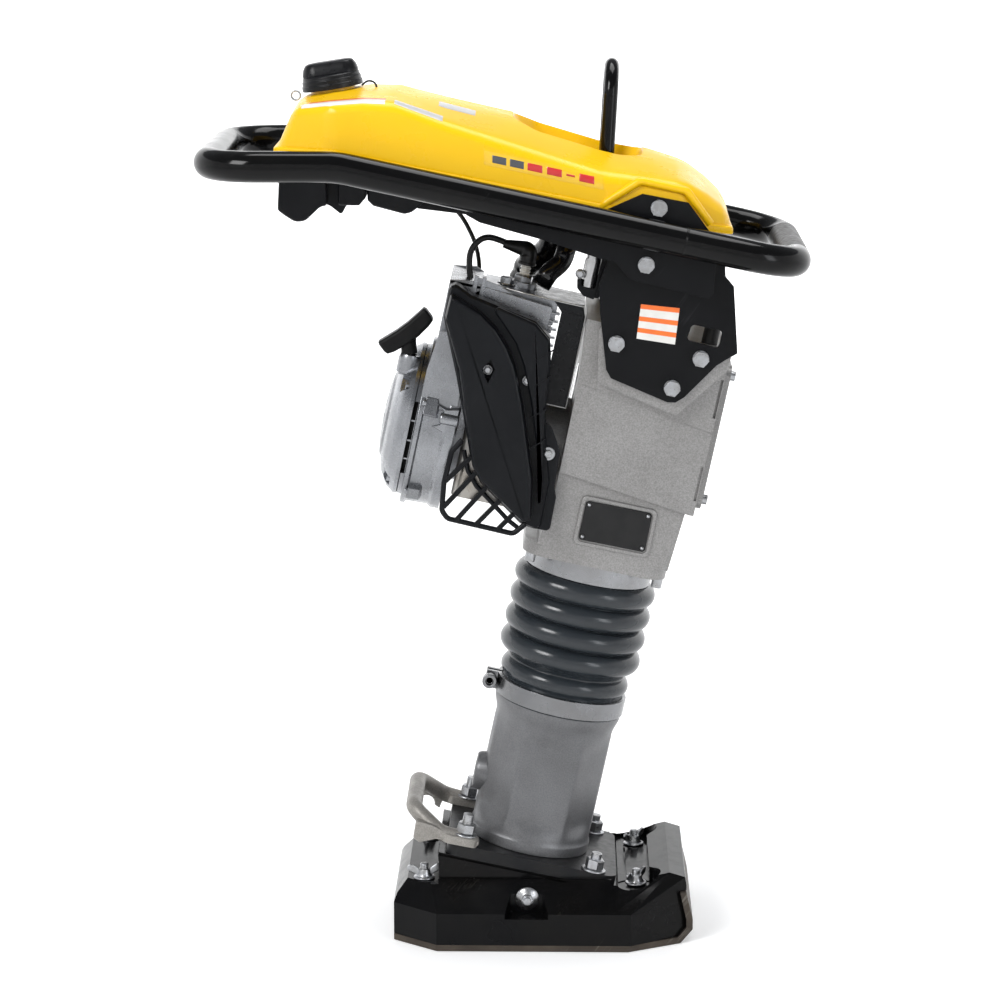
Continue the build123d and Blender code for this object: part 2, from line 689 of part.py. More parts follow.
def carburettor():
    shape = block(-166, -122, 62, 96, 630, 684) + along_y(14, 45, 63, CYLINDER_X, 660)
    shape += along_z(17, 684, 692, CYLINDER_X, 79)
    return in_leg(shape)


def intake_hose():
    route = [(CYLINDER_X, 79, 692), (CYLINDER_X, 72, 738), (-119, 16, 764), (-117, 8, 804)]
    hose = bent_rod(route, [38, 38], 15) - along_z(17, 684, 692, CYLINDER_X, 79)
    return in_leg(hose) - air_filter_housing()


# ---- chassis -------------------------------------------------------------------------------
def slope_z(x):
    """Height of the side rail's centre line, which is square to the leg in front."""
    return FRONT_Z + (FRONT_BAR_X - x) * tan(radians(TILT))


FRONT_Z = (RAIL_Z - (FRONT_BAR_X - LEG_X) * sin(radians(TILT))) / cos(radians(TILT))
KNEE_X = FRONT_BAR_X - (REAR_BAR_Z - FRONT_Z) / tan(radians(TILT))


def rear_loop(r):
    route = [(SEAM_X, -RAIL_Y, slope_z(SEAM_X)), (KNEE_X, -RAIL_Y, REAR_BAR_Z),
             (REAR_BAR_X, -RAIL_Y, REAR_BAR_Z), (REAR_BAR_X, RAIL_Y, REAR_BAR_Z),
             (KNEE_X, RAIL_Y, REAR_BAR_Z), (SEAM_X, RAIL_Y, slope_z(SEAM_X))]
    return bent_rod(route, [120, BEND_R, BEND_R, 120], r)


def front_loop(r):
    route = [(SEAM_X, -RAIL_Y, slope_z(SEAM_X)), (FRONT_BAR_X, -RAIL_Y, FRONT_Z),
             (FRONT_BAR_X, RAIL_Y, FRONT_Z), (SEAM_X, RAIL_Y, slope_z(SEAM_X))]
    return bent_rod(route, [BEND_R, BEND_R], r)


def guide_handle():
    inner_r = TUBE_R - 3
    rear = rear_loop(TUBE_R) - rear_loop(inner_r)
    front = front_loop(TUBE_R) - front_loop(inner_r)
    gap = block(FRONT_BAR_X - 40, FRONT_BAR_X + 40, -ROLLER_HALF - 0.3, ROLLER_HALF + 0.3, FRONT_Z - 40,
                FRONT_Z + 40)
    front -= gap
    core = along_y(ROLLER_CORE_R, -ROLLER_HALF - 8, ROLLER_HALF + 8, FRONT_BAR_X, FRONT_Z)
    for y in (-ROLLER_HALF - 4, ROLLER_HALF + 4):
        core += along_y(inner_r + 0.5, y - 3.5, y + 3.5, FRONT_BAR_X, FRONT_Z)
    stud = along_y(5, 118, RAIL_Y - TUBE_R + 4, LEVER_X, LEVER_Z)
    tab = block(LEVER_X - 10, LEVER_X + 10, RAIL_Y - TUBE_R, RAIL_Y - TUBE_R + 4, LEVER_Z - 10, REAR_BAR_Z)
    return [rear + stud + tab - rear_loop(inner_r), front + core]


def transport_roller():
    shape = along_y(TUBE_R, -ROLLER_HALF, ROLLER_HALF, FRONT_BAR_X, FRONT_Z)
    return shape - along_y(ROLLER_CORE_R + RUNNING, -100, 100, FRONT_BAR_X, FRONT_Z)


LEVER_X = -245.0
LEVER_Z = 856.0


def throttle_lever():
    shape = along_y(11, 126, 135, LEVER_X, LEVER_Z) + block(LEVER_X - 7, LEVER_X + 7, 130, 135, LEVER_Z, 925)
    shape += along_y(11, 124, 135, LEVER_X, 927)
    return shape - along_y(5 + RUNNING, 110, 140, LEVER_X, LEVER_Z)


def throttle_cable():
    route = [to_row(-166, 80, 665), to_row(-186, 88, 684), to_row(-196, 110, 738), (-95, 117, 812),
             (-150, 119, 845), (LEVER_X + 16, 119, LEVER_Z - 2)]
    return bent_rod(route, cable_radii(route), 2.5)


def cable_radii(route):
    """The largest bend at each corner that leaves a tenth of each run straight."""
    radii = []
    for before, at, after in zip(route, route[1:], route[2:]):
        arrive = Vector(*at) - Vector(*before)
        leave = Vector(*after) - Vector(*at)
        half_turn = radians(arrive.get_angle(leave)) / 2
        radii.append(0.45 * min(arrive.length, leave.length) / tan(half_turn))
    return radii


def rail_brackets():
    side = [(-222, 812), (-219, 805), (-203, 800), (-133, 796), (-68, 789), (-51, 789), (-32, 774),
            (56, 771), (60, 778), (52, 839), (43, 841), (12.5, 868), (-38, 867), (-74, 841), (-222, 841)]
    plate = slab(side, -STRIP_Y, -STRIP_Y + STRIP_T)
    for x, z in (MOUNT_BOLT, TANK_BOLT):
        plate -= along_y(BOLT_R, -160, -100, x, z)
    cross = along_y(13, -STRIP_Y + STRIP_T, STRIP_Y - STRIP_T, HOOP_FOOT[0], HOOP_FOOT[1])
    plates = in_leg(both(plate) + cross)
    return plates - rear_loop(TUBE_R) - front_loop(TUBE_R)


HOOP_FOOT = (-70.0, 808.0)


def side_plates():
    side = [(-50, 797), (-58, 785), (-62, 757), (-54, 727), (-34, 667), (-27, 659), (39, 646),
            (48, 647.5), (56, 655), (83, 697), (91, 705), (102.5, 715), (82.5, 786), (71, 795), (68, 807)]
    plate = slab(side, -PLATE_Y, -PLATE_Y + PLATE_T)
    plate -= slab([(45, 718), (47, 736), (81, 736), (81, 716)], -120, -100, 4)
    for x, z in PLATE_BOLTS + [MOUNT_BOLT]:
        plate -= along_y(BOLT_R, -120, -100, x, z)
    return [in_leg(shape) for shape in mirrored(plate)]


def shock_mounts():
    shapes = []
    for x, z in (MOUNT_BOLT, (40.0, 789.0)):
        bobbin = along_y(17, -STRIP_Y + STRIP_T, -PLATE_Y, x, z) - along_y(BOLT_R, -140, -100, x, z)
        shapes += mirrored(bobbin)
    buffer = along_z(9, CASE_TOP, CASE_TOP + 26, 72, -80)
    shapes += mirrored(buffer)
    return [in_leg(shape) for shape in shapes]


def flange_bolt(x, z, head_y, end_y):
    shape = along_y(BOLT_R, head_y, end_y, x, z) + along_y(BOLT_HEAD, head_y - 1.8, head_y, x, z)
    head = Pos(x, head_y - 7.5, z) * extrude(Plane.XZ * RegularPolygon(8, 6, major_radius=False), amount=-6)
    return shape + head


def chassis_bolts():
    shapes = []
    for x, z in PLATE_BOLTS:
        shapes += mirrored(flange_bolt(x, z, -PLATE_Y, -84))
    shapes += mirrored(flange_bolt(*MOUNT_BOLT, -STRIP_Y, -PLATE_Y + PLATE_T))
    shapes += mirrored(flange_bolt(*TANK_BOLT, -STRIP_Y, -112))
    return [in_leg(shape) for shape in shapes]


# ---- tank, filter and lifting hoop --------------------------------------------------------
def tank_side():
    return [(-288, 893), (-226, 893), (213, 806), (212, 822), (203, 843), (180, 864), (157, 881),
            (71, 905), (-156, 959), (-190, 961), (-235, 955), (-269, 946)]


def tank_shell(inset, half):
    side = Plane.XZ.offset(-half) * offset(outline(tank_side()), -inset) if inset else \
        Plane.XZ.offset(-half) * outline(tank_side(), 3)
    return extrude(side, amount=2 * half)


def fuel_tank():
    outer = tank_shell(0, 128)
    section = [(-128, 780), (128, 780), (122, 925), (100, 990), (-100, 990), (-122, 925)]
    outer = outer & (Pos(-300, 0, 0) * extrude(Plane.YZ * outline(section), amount=600))
    shape = outer - tank_shell(5, 105)
    well = Pos(44, 0, 0) * extrude(Plane.XY.offset(858) * RectangleRounded(136, 92, 30), amount=120)
    wall = Pos(44, 0, 0) * extrude(Plane.XY.offset(800) * RectangleRounded(144, 100, 34), amount=150)
    shape = (shape + (wall & outer)) - well
    shape -= Pos(HOOP_X, 0, 0) * extrude(Plane.XY.offset(780) * RectangleRounded(50, 90, 20), amount=100)
    shape -= in_leg(both(along_y(BOLT_R, -140, -110, *TANK_BOLT)))
    neck = along_z(25, -14, 14) - along_z(21, -15, 15)
    place = Pos(CAP_X, 0, CAP_Z) * Rot(0, CAP_LEAN, 0)
    return shape - place * along_z(21, -14, 15) + place * neck


def fuel_cap():
    shape = along_z(CAP_R, 0.8, 11) + along_z(29, 11, 29)
    shape = fillet(shape.edges().filter_by(GeomType.CIRCLE).sort_by(Axis.Z)[-1], 6)
    shape += block(-29, 29, -4, 4, 11, 31) & along_z(29, 11, 31)
    shape -= along_z(25.3, 0, 15)
    return Pos(CAP_X, 0, CAP_Z) * Rot(0, CAP_LEAN, 0) * shape


def lifting_hoop():
    foot = to_row(HOOP_FOOT[0], 0, HOOP_FOOT[1] + 11)
    top = HOOP_TOP - HOOP_R
    route = [(foot[0], -HOOP_HALF, foot[2]), (HOOP_X + 7, -HOOP_HALF, top), (HOOP_X + 7, HOOP_HALF, top),
             (foot[0], HOOP_HALF, foot[2])]
    shape = bent_rod(route, [32, 32], HOOP_R)
    cross = in_leg(along_y(13, -80, 80, *HOOP_FOOT))
    return shape - cross


def air_filter_housing():
    side = [(-281, 889), (-281, 850), (-264, 822), (-250, 821), (-232, 838), (-215, 828), (-208, 837),
            (-190, 841), (-160, 838), (-120, 829), (-60, 822), (20, 806), (34, 838), (-226, 890)]
    return slab(side, -100, 100, 2)


def fuel_filter():
    can = along_z(7, 748, 782, -73, -88)
    cup = block(-88, -63, -98, -78, 770, 794) - along_z(7, 747, 782, -73, -88)
    return [in_leg(can), in_leg(cup)]


GRIP_AT = (-257.5, -38.3, 649.0)
GRIP_LEAN = 41.4
STEM_END = (-250.5, -38.3, 631.0)
ROPE_START = (-238.0, -38.3, 560.0)
ROPE_R = 2.0


def starter_handle():
    bar = Cylinder(8, 66)
    bar = fillet(bar.edges().filter_by(GeomType.CIRCLE), 4)
    shape = Pos(*GRIP_AT) * Rot(0, GRIP_LEAN, 0) * bar
    return in_leg(shape + between(GRIP_AT, STEM_END, 7))


def starter_rope():
    return in_leg(between(ROPE_START, STEM_END, ROPE_R))


NODES = [
    shoe_body, sole_plate, wing_bolts, side_bolts, shoe_mount_plate, shoe_studs, shoe_nuts, carry_handle,
    leg_casting, sight_glass, spring_lower, spring_upper, bellows, bellows_clamp,
    guide_cylinder, guide_piston, piston_rod, con_rod, wrist_pin, crank_gear, pinion_drum, gearbox_bearings,
    crankcase, crankcase_cover, crankcase_screws, bellows_collar, name_plate,
    engine_crankcase, cylinder, crankshaft, engine_con_rod, engine_piston, flywheel, clutch_shoes,
    starter_pulley, starter_cover, fan_housing, spark_plug, plug_boot, ignition_lead, muffler,
    muffler_guard, heat_shield, carburettor, intake_hose, starter_handle, starter_rope,
    guide_handle, transport_roller, throttle_lever, throttle_cable, rail_brackets, side_plates,
    shock_mounts, chassis_bolts, fuel_tank, fuel_cap, lifting_hoop, air_filter_housing, fuel_filter,
]

os.makedirs("parts", exist_ok=True)
for make in NODES:
    made = make()
    shape = Compound(children=made) if isinstance(made, list) else made
    export_step(shape, f"parts/{make.__name__}.step")
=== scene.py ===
import json
from math import atan2, cos, hypot, pi, radians, sin, tan

import bmesh
import bpy
from mathutils import Matrix, Vector

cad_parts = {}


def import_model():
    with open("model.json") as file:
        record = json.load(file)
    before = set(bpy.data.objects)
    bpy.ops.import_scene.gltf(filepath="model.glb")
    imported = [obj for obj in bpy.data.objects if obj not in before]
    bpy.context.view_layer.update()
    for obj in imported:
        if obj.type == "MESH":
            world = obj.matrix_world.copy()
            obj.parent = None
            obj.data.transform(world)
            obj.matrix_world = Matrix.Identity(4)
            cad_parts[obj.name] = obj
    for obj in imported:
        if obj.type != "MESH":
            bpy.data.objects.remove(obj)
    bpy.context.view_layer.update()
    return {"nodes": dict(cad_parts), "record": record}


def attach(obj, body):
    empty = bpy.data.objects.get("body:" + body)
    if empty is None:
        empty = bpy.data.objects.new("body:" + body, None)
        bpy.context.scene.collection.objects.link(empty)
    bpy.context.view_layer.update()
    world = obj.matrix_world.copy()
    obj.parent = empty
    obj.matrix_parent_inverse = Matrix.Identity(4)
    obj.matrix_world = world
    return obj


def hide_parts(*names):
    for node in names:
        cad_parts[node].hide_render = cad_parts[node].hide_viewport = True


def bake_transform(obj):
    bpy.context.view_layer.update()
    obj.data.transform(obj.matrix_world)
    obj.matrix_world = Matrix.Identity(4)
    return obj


# Looks of the vibratory rammer.  Pieces are drawn in millimetres, either in the row frame (ROW) or in
# the leg frame (LEG), whose z runs up the leg, which leans forward by 12 degrees.

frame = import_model()
nodes = frame["nodes"]

MM = 0.001
TILT = radians(12)
LEG_X = -31
ROW = Matrix.Scale(MM, 4)
LEG = Matrix.Translation((LEG_X * MM, 0, 0)) @ Matrix.Rotation(TILT, 4, "Y") @ Matrix.Scale(MM, 4)
TO_LEG = LEG.inverted() @ ROW


# ---- materials ----------------------------------------------------------------------------
def add(tree, kind, inputs=None, **settings):
    """A shader node; an input is a plain value or another node's output."""
    made = tree.nodes.new(kind)
    for key, value in settings.items():
        setattr(made, key, value)
    for key, value in (inputs or {}).items():
        if isinstance(value, bpy.types.NodeSocket):
            tree.links.new(value, made.inputs[key])
        else:
            made.inputs[key].default_value = value
    return made


def noise(tree, place, size, detail=3.0, stretch=(1, 1, 1)):
    """Noise whose patches are about size millimetres across."""
    scale = tuple(s / (size * MM) for s in stretch)
    mapped = add(tree, "ShaderNodeMapping", {"Vector": place, "Scale": scale})
    made = add(tree, "ShaderNodeTexNoise", {"Vector": mapped.outputs[0], "Scale": 1.0, "Detail": detail})
    return made.outputs["Fac"]


def band(tree, value, low, high, out_low=0.0, out_high=1.0):
    inputs = {"Value": value, "From Min": low, "From Max": high, "To Min": out_low, "To Max": out_high}
    return add(tree, "ShaderNodeMapRange", inputs).outputs[0]


def mixed(tree, factor, first, second, blend="MIX"):
    made = add(tree, "ShaderNodeMix", data_type="RGBA", blend_type=blend)
    for socket, value in zip((made.inputs[0], made.inputs[6], made.inputs[7]), (factor, first, second)):
        if isinstance(value, bpy.types.NodeSocket):
            tree.links.new(value, socket)
        else:
            socket.default_value = value
    return made.outputs[2]


def rgba(color):
    return (*color, 1.0)


def surface(name, color, other, rough, metal=0.0, patch=60, grain=None, speckle=0.0, scuff=None,
            dirt=None, coat=0.0, specular=0.5):
    """color and other: the two colours it drifts between, in patches of patch millimetres.
    rough: lowest and highest roughness.  grain: (size, height) of the bump in millimetres.
    speckle: how much the grain also changes the colour.  scuff: (colour, share) of fine marks.
    dirt: (colour, share) in broad patches."""
    made = bpy.data.materials.new(name)
    made.use_nodes = True
    tree = made.node_tree
    shader = tree.nodes["Principled BSDF"]
    place = add(tree, "ShaderNodeTexCoord").outputs["Object"]
    broad = noise(tree, place, patch, 4.0)
    paint = mixed(tree, band(tree, broad, 0.35, 0.65), rgba(color), rgba(other))
    roughness = band(tree, noise(tree, place, patch * 0.3, 5.0), 0.3, 0.7, *rough)
    if grain:
        size, height = grain
        fine = noise(tree, place, size, 2.0)
        coarse = noise(tree, place, size * 7, 3.0)
        heights = add(tree, "ShaderNodeMath", {0: fine, 1: coarse}, operation="ADD").outputs[0]
        bump = add(tree, "ShaderNodeBump", {"Height": heights, "Strength": 1.0, "Distance": height * MM})
        tree.links.new(bump.outputs[0], shader.inputs["Normal"])
        if speckle:
            shade = band(tree, fine, 0.3, 0.7, 1 - speckle, 1 + speckle)
            light = add(tree, "ShaderNodeCombineColor", {0: shade, 1: shade, 2: shade}).outputs[0]
            paint = mixed(tree, 1.0, paint, light, "MULTIPLY")
    if dirt:
        stain = band(tree, noise(tree, place, patch * 0.8, 8.0), 0.72 - dirt[1], 0.8 - dirt[1] * 0.6)
        paint = mixed(tree, stain, paint, rgba(dirt[0]))
        roughness = add(tree, "ShaderNodeMath", {0: roughness, 1: band(tree, stain, 0, 1, 0, 0.3)},
                        operation="ADD").outputs[0]
    if scuff:
        tilted = add(tree, "ShaderNodeMapping", {"Vector": place, "Rotation": (0.5, 0.9, 0.4)}).outputs[0]
        lines = noise(tree, tilted, 10, 9.0, (0.12, 0.5, 5))
        where = noise(tree, place, 60, 5.0)
        both = add(tree, "ShaderNodeMath", {0: lines, 1: where}, operation="MULTIPLY").outputs[0]
        marks = band(tree, both, 0.40 - scuff[1], 0.50 - scuff[1], 0, 0.35)
        paint = mixed(tree, marks, paint, rgba(scuff[0]))
    tree.links.new(paint, shader.inputs["Base Color"])
    tree.links.new(roughness, shader.inputs["Roughness"])
    shader.inputs["Metallic"].default_value = metal
    shader.inputs["Specular IOR Level"].default_value = specular
    shader.inputs["Coat Weight"].default_value = coat
    shader.inputs["Coat Roughness"].default_value = 0.08
    return made


# a slot: colour, other colour, roughness, metal, patch size and what surface() takes besides
LOOKS = {
    "shoe_plastic": ((0.003, 0.0031, 0.0036), (0.0048, 0.0046, 0.0044), (0.12, 0.24), 0, 60,
        dict(grain=(1.6, 0.02), scuff=((0.03, 0.028, 0.024), 0.01),
             dirt=((0.01, 0.009, 0.007), 0.03), specular=0.12)),
    "sole_steel": ((0.045, 0.037, 0.03), (0.07, 0.057, 0.045), (0.38, 0.6), 0.5, 40,
        dict(grain=(2, 0.1), scuff=((0.25, 0.23, 0.2), 0.06), specular=0.3)),
    "zinc": ((0.44, 0.45, 0.47), (0.33, 0.33, 0.33), (0.24, 0.42), 1.0, 8, dict(grain=(0.7, 0.02))),
    "flange_iron": ((0.01, 0.0105, 0.012), (0.016, 0.016, 0.016), (0.28, 0.42), 0.15, 30,
        dict(grain=(1.5, 0.06), scuff=((0.06, 0.06, 0.06), 0.01), specular=0.2)),
    "handle_casting": ((0.3, 0.285, 0.262), (0.21, 0.198, 0.182), (0.38, 0.55), 0.45, 25,
        dict(grain=(1.4, 0.14), speckle=0.16, dirt=((0.12, 0.1, 0.085), 0.05))),
    "leg_casting": ((0.155, 0.157, 0.163), (0.122, 0.123, 0.127), (0.32, 0.44), 0.5, 60,
        dict(grain=(1.5, 0.1), speckle=0.15, dirt=((0.09, 0.085, 0.08), 0.03))),
    "sight_glass": ((0.35, 0.24, 0.09), (0.24, 0.16, 0.06), (0.1, 0.25), 0.9, 10, dict(grain=(1, 0.02))),
    "spring_steel": ((0.2, 0.2, 0.21), (0.14, 0.13, 0.12), (0.3, 0.5), 0.9, 20, dict(grain=(0.8, 0.05))),
    "bellows_rubber": ((0.02, 0.0245, 0.029), (0.017, 0.021, 0.025), (0.16, 0.26), 0, 40,
        dict(grain=(2.5, 0.04), specular=0.45)),
    "clamp_steel": ((0.23, 0.235, 0.245), (0.19, 0.19, 0.192), (0.22, 0.3), 1.0, 60,
        dict(grain=(0.8, 0.008))),
    "machined_steel": ((0.5, 0.5, 0.51), (0.4, 0.4, 0.4), (0.2, 0.35), 1.0, 15,
        dict(grain=(0.6, 0.02))),
    "bearing_steel": ((0.62, 0.62, 0.63), (0.55, 0.55, 0.55), (0.12, 0.2), 1.0, 10, dict(grain=(0.6, 0.01))),
    "crankcase_paint": ((0.275, 0.27, 0.265), (0.235, 0.23, 0.225), (0.34, 0.48), 0.5, 90,
        dict(grain=(1.5, 0.13), speckle=0.2)),
    "collar_aluminium": ((0.34, 0.35, 0.365), (0.27, 0.27, 0.275), (0.22, 0.3), 1.0, 60,
        dict(grain=(0.9, 0.008))),
    "name_plate": ((0.006, 0.006, 0.0065), (0.009, 0.009, 0.009), (0.3, 0.42), 0, 15,
        dict(grain=(0.6, 0.02), specular=0.3)),
    "engine_casting": ((0.34, 0.35, 0.37), (0.24, 0.245, 0.255), (0.22, 0.34), 0.95, 70,
        dict(grain=(1.1, 0.08), speckle=0.14, dirt=((0.15, 0.145, 0.135), 0.02))),
    "clutch_lining": ((0.2, 0.17, 0.14), (0.14, 0.12, 0.1), (0.5, 0.7), 0.2, 10, dict(grain=(1, 0.1))),
    "reel_plastic": ((0.03, 0.03, 0.03), (0.04, 0.04, 0.04), (0.35, 0.5), 0, 10, dict(grain=(1, 0.03))),
    "ceramic": ((0.72, 0.7, 0.64), (0.62, 0.59, 0.53), (0.12, 0.22), 0, 6, dict(grain=(2, 0.01), coat=0.5)),
    "cable_rubber": ((0.006, 0.006, 0.0065), (0.01, 0.01, 0.01), (0.28, 0.42), 0, 12,
        dict(grain=(1, 0.03), specular=0.3)),
    "muffler_steel": ((0.46, 0.45, 0.43), (0.34, 0.315, 0.28), (0.25, 0.42), 1.0, 35,
        dict(grain=(1.5, 0.03), dirt=((0.24, 0.18, 0.11), 0.08))),
    "guard_plastic": ((0.0042, 0.0048, 0.006), (0.0062, 0.0068, 0.0082), (0.3, 0.42), 0, 60,
        dict(grain=(0.8, 0.035), scuff=((0.03, 0.03, 0.033), 0.01), specular=0.15)),
    "shield_steel": ((0.006, 0.0066, 0.0078), (0.01, 0.01, 0.0112), (0.22, 0.36), 0.2, 40,
        dict(grain=(1.5, 0.03), specular=0.25)),
    "hose_rubber": ((0.004, 0.004, 0.0045), (0.007, 0.007, 0.0075), (0.1, 0.2), 0, 30,
        dict(grain=(3, 0.04), specular=0.45)),
    "grip_plastic": ((0.003, 0.003, 0.0032), (0.0048, 0.0048, 0.005), (0.32, 0.44), 0, 12,
        dict(grain=(0.8, 0.04), specular=0.16)),
    "rope": ((0.62, 0.6, 0.55), (0.45, 0.43, 0.4), (0.7, 0.9), 0, 3, dict(grain=(0.7, 0.2))),
    "tube_paint": ((0.0016, 0.0016, 0.0018), (0.0026, 0.0026, 0.0026), (0.1, 0.18), 0, 80,
        dict(grain=(5, 0.012), scuff=((0.03, 0.03, 0.03), 0.01), specular=0.2)),
    "roller_plastic": ((0.014, 0.0135, 0.013), (0.024, 0.023, 0.021), (0.32, 0.5), 0, 20,
        dict(grain=(1, 0.05), scuff=((0.3, 0.3, 0.3), 0.05), specular=0.3)),
    "lever_plastic": ((0.01, 0.01, 0.011), (0.016, 0.016, 0.016), (0.3, 0.45), 0, 15,
        dict(grain=(0.8, 0.03), specular=0.3)),
    "bracket_paint": ((0.0024, 0.0027, 0.0034), (0.0038, 0.0041, 0.005), (0.28, 0.4), 0, 60,
        dict(grain=(1.6, 0.025), scuff=((0.03, 0.03, 0.034), 0.01), specular=0.15)),
    "mount_rubber": ((0.01, 0.01, 0.01), (0.014, 0.014, 0.014), (0.45, 0.6), 0, 12,
        dict(grain=(1, 0.05), specular=0.3)),
    "tank_yellow": ((0.88, 0.53, 0.004), (0.84, 0.49, 0.004), (0.24, 0.34), 0, 140,
        dict(grain=(2.2, 0.02), scuff=((0.86, 0.6, 0.12), 0.01), specular=0.32)),
    "cap_plastic": ((0.004, 0.0044, 0.0055), (0.0066, 0.007, 0.0082), (0.26, 0.38), 0, 15,
        dict(grain=(0.8, 0.04), specular=0.22)),
    "housing_plastic": ((0.0038, 0.0042, 0.0055), (0.006, 0.0066, 0.008), (0.32, 0.45), 0, 40,
        dict(grain=(1.0, 0.04), specular=0.16)),
    "filter_metal": ((0.56, 0.56, 0.57), (0.45, 0.45, 0.45), (0.15, 0.28), 1.0, 12, dict(grain=(1, 0.02))),
}
looks = {slot: surface(slot, *plain, **more) for slot, (*plain, more) in LOOKS.items()}
SLOT_OF = {part["node"]: part["material_slot"] for part in frame["record"]["subparts"]}


def coat_all(obj, look):
    obj.data.materials.clear()
    obj.data.materials.append(look)
    for polygon in obj.data.polygons:
        polygon.material_index = 0


# ---- carried-over CAD nodes --------------------------------------------------------------
SOFT_EDGE = {"crankcase": 2.0, "crankcase_cover": 1.6}
FINE_EDGE = 0.5
SHARP, FLAT = 32, 1.5


def edged(obj, width, segments=2, limit=SHARP):
    """Rounds the edges sharper than limit degrees; width is in the mesh's own unit."""
    bevel = obj.modifiers.new("soft_edge", "BEVEL")
    bevel.width, bevel.segments = width, segments
    bevel.limit_method, bevel.angle_limit = "ANGLE", radians(limit)
    return obj


def soften(obj, width):
    """Rounds every sharp edge of a carried-over node, once its flat faces are whole again."""
    obj.modifiers.new("weld", "WELD").merge_threshold = 0.00001
    merge = obj.modifiers.new("merge", "DECIMATE")
    merge.decimate_type = "DISSOLVE"
    merge.angle_limit = radians(FLAT)
    edged(obj, width * MM)
    normals = obj.modifiers.new("normals", "WEIGHTED_NORMAL")
    normals.keep_sharp = False


for name, obj in nodes.items():
    coat_all(obj, looks[SLOT_OF[name]])
    soften(obj, SOFT_EDGE.get(name, FINE_EDGE))


# ---- shapes, in millimetres -----------------------------------------------------------------
def skin(loops, ends=True):
    """A closed skin over loops of points, which all have as many points."""
    shape = bmesh.new()
    rings = [[shape.verts.new(point) for point in loop] for loop in loops]
    for first, second in zip(rings, rings[1:]):
        for i, vert in enumerate(first):
            j = (i + 1) % len(first)
            shape.faces.new((vert, first[j], second[j], second[i]))
    if ends:
        shape.faces.new(rings[0][::-1])
        shape.faces.new(rings[-1])
    bmesh.ops.remove_doubles(shape, verts=shape.verts, dist=0.0005)
    bmesh.ops.recalc_face_normals(shape, faces=shape.faces)
    return shape


def on_axis(axis, pair, along):
    a, b = pair
    return {"X": (along, a, b), "Y": (a, along, b), "Z": (a, b, along)}[axis]


def rounded(points, radius, steps=5, closed=True):
    """The corners of an outline or a path as arcs; radius is one number or one for each corner."""
    points = [Vector(point) for point in points]
    made = []
    for i, at in enumerate(points):
        size = radius[i] if isinstance(radius, (list, tuple)) else radius
        if size <= 0 or (not closed and i in (0, len(points) - 1)):
            made.append(tuple(at))
            continue
        back, ahead = points[i - 1] - at, points[(i + 1) % len(points)] - at
        half = back.angle(ahead) / 2
        reach = min(size / tan(half), 0.48 * back.length, 0.48 * ahead.length)
        start, end, weight = at + back.normalized() * reach, at + ahead.normalized() * reach, sin(half)
        for step in range(steps + 1):
            t = step / steps
            parts = ((1 - t) ** 2, 2 * weight * t * (1 - t), t * t)
            made.append(tuple((start * parts[0] + at * parts[1] + end * parts[2]) / sum(parts)))
    return made


def grow(points, amount):
    """A closed outline moved outwards by amount millimetres."""
    points = [Vector(point) for point in points]
    area = sum(a.x * b.y - b.x * a.y for a, b in zip(points, points[1:] + points[:1]))
    side = 1 if area > 0 else -1
    made = []
    for i, at in enumerate(points):
        arrive, leave = (at - points[i - 1]).normalized(), (points[(i + 1) % len(points)] - at).normalized()
        out = (Vector((arrive.y, -arrive.x)) + Vector((leave.y, -leave.x))) * side
        out = out.normalized() if out.length > 0.01 else Vector((arrive.y, -arrive.x)) * side
        facing = max(0.5, out.dot(Vector((leave.y, -leave.x)) * side))
        made.append(tuple(at + out * (amount / facing)))
    return made


def slab(points, levels, axis="Y"):
    """An outline pulled along an axis; levels are (place on the axis, how much the outline grows)."""
    return skin([[on_axis(axis, pair, along) for pair in grow(points, more)] for along, more in levels])


def lathe(profile, axis="Z", at=(0, 0, 0), steps=56, ring=False):
    """A profile of (radius, place on the axis), turned about that axis through the point at."""
    loops = []
    for radius, along in profile + (profile[:1] if ring else []):
        circle = [(max(radius, 0.01) * cos(2 * pi * k / steps), max(radius, 0.01) * sin(2 * pi * k / steps))
                  for k in range(steps)]
        loops.append([Vector(on_axis(axis, pair, along)) + Vector(at) for pair in circle])
    return skin(loops, not ring)


def tube(path, radius, steps=16):
    """A round tube along a path; radius is one number or one for each point of the path."""
    path = [Vector(point) for point in path]
    ahead = (path[1] - path[0]).normalized()
    across = ahead.orthogonal().normalized()
    loops = []
    for i, at in enumerate(path):
        way = (path[min(i + 1, len(path) - 1)] - path[max(i - 1, 0)]).normalized()
        across = (across - way * across.dot(way)).normalized()
        up = way.cross(across)
        size = radius[i] if isinstance(radius, (list, tuple)) else radius
        loops.append([at + (across * cos(2 * pi * k / steps) + up * sin(2 * pi * k / steps)) * size
                      for k in range(steps)])
    return skin(loops)


def block(x0, x1, y0, y1, z0, z1):
    return slab([(x0, z0), (x1, z0), (x1, z1), (x0, z1)], [(y0, 0), (y1, 0)])


def polygon(sides, across, turn=0.0):
    size = across / 2 / cos(pi / sides)
    return [(size * cos(2 * pi * k / sides + turn), size * sin(2 * pi * k / sides + turn))
            for k in range(sides)]


def moved(shape, place=(0, 0, 0), turn=0.0, axis="Z"):
    bmesh.ops.transform(shape, matrix=Matrix.Translation(place) @ Matrix.Rotation(radians(turn), 4, axis),
                        verts=shape.verts)
    return shape


def gather(*shapes):
    whole = bmesh.new()
    for shape in shapes:
        part = bpy.data.meshes.new("part")
        shape.to_mesh(part)
        shape.free()
        whole.from_mesh(part)
        bpy.data.meshes.remove(part)
    return whole


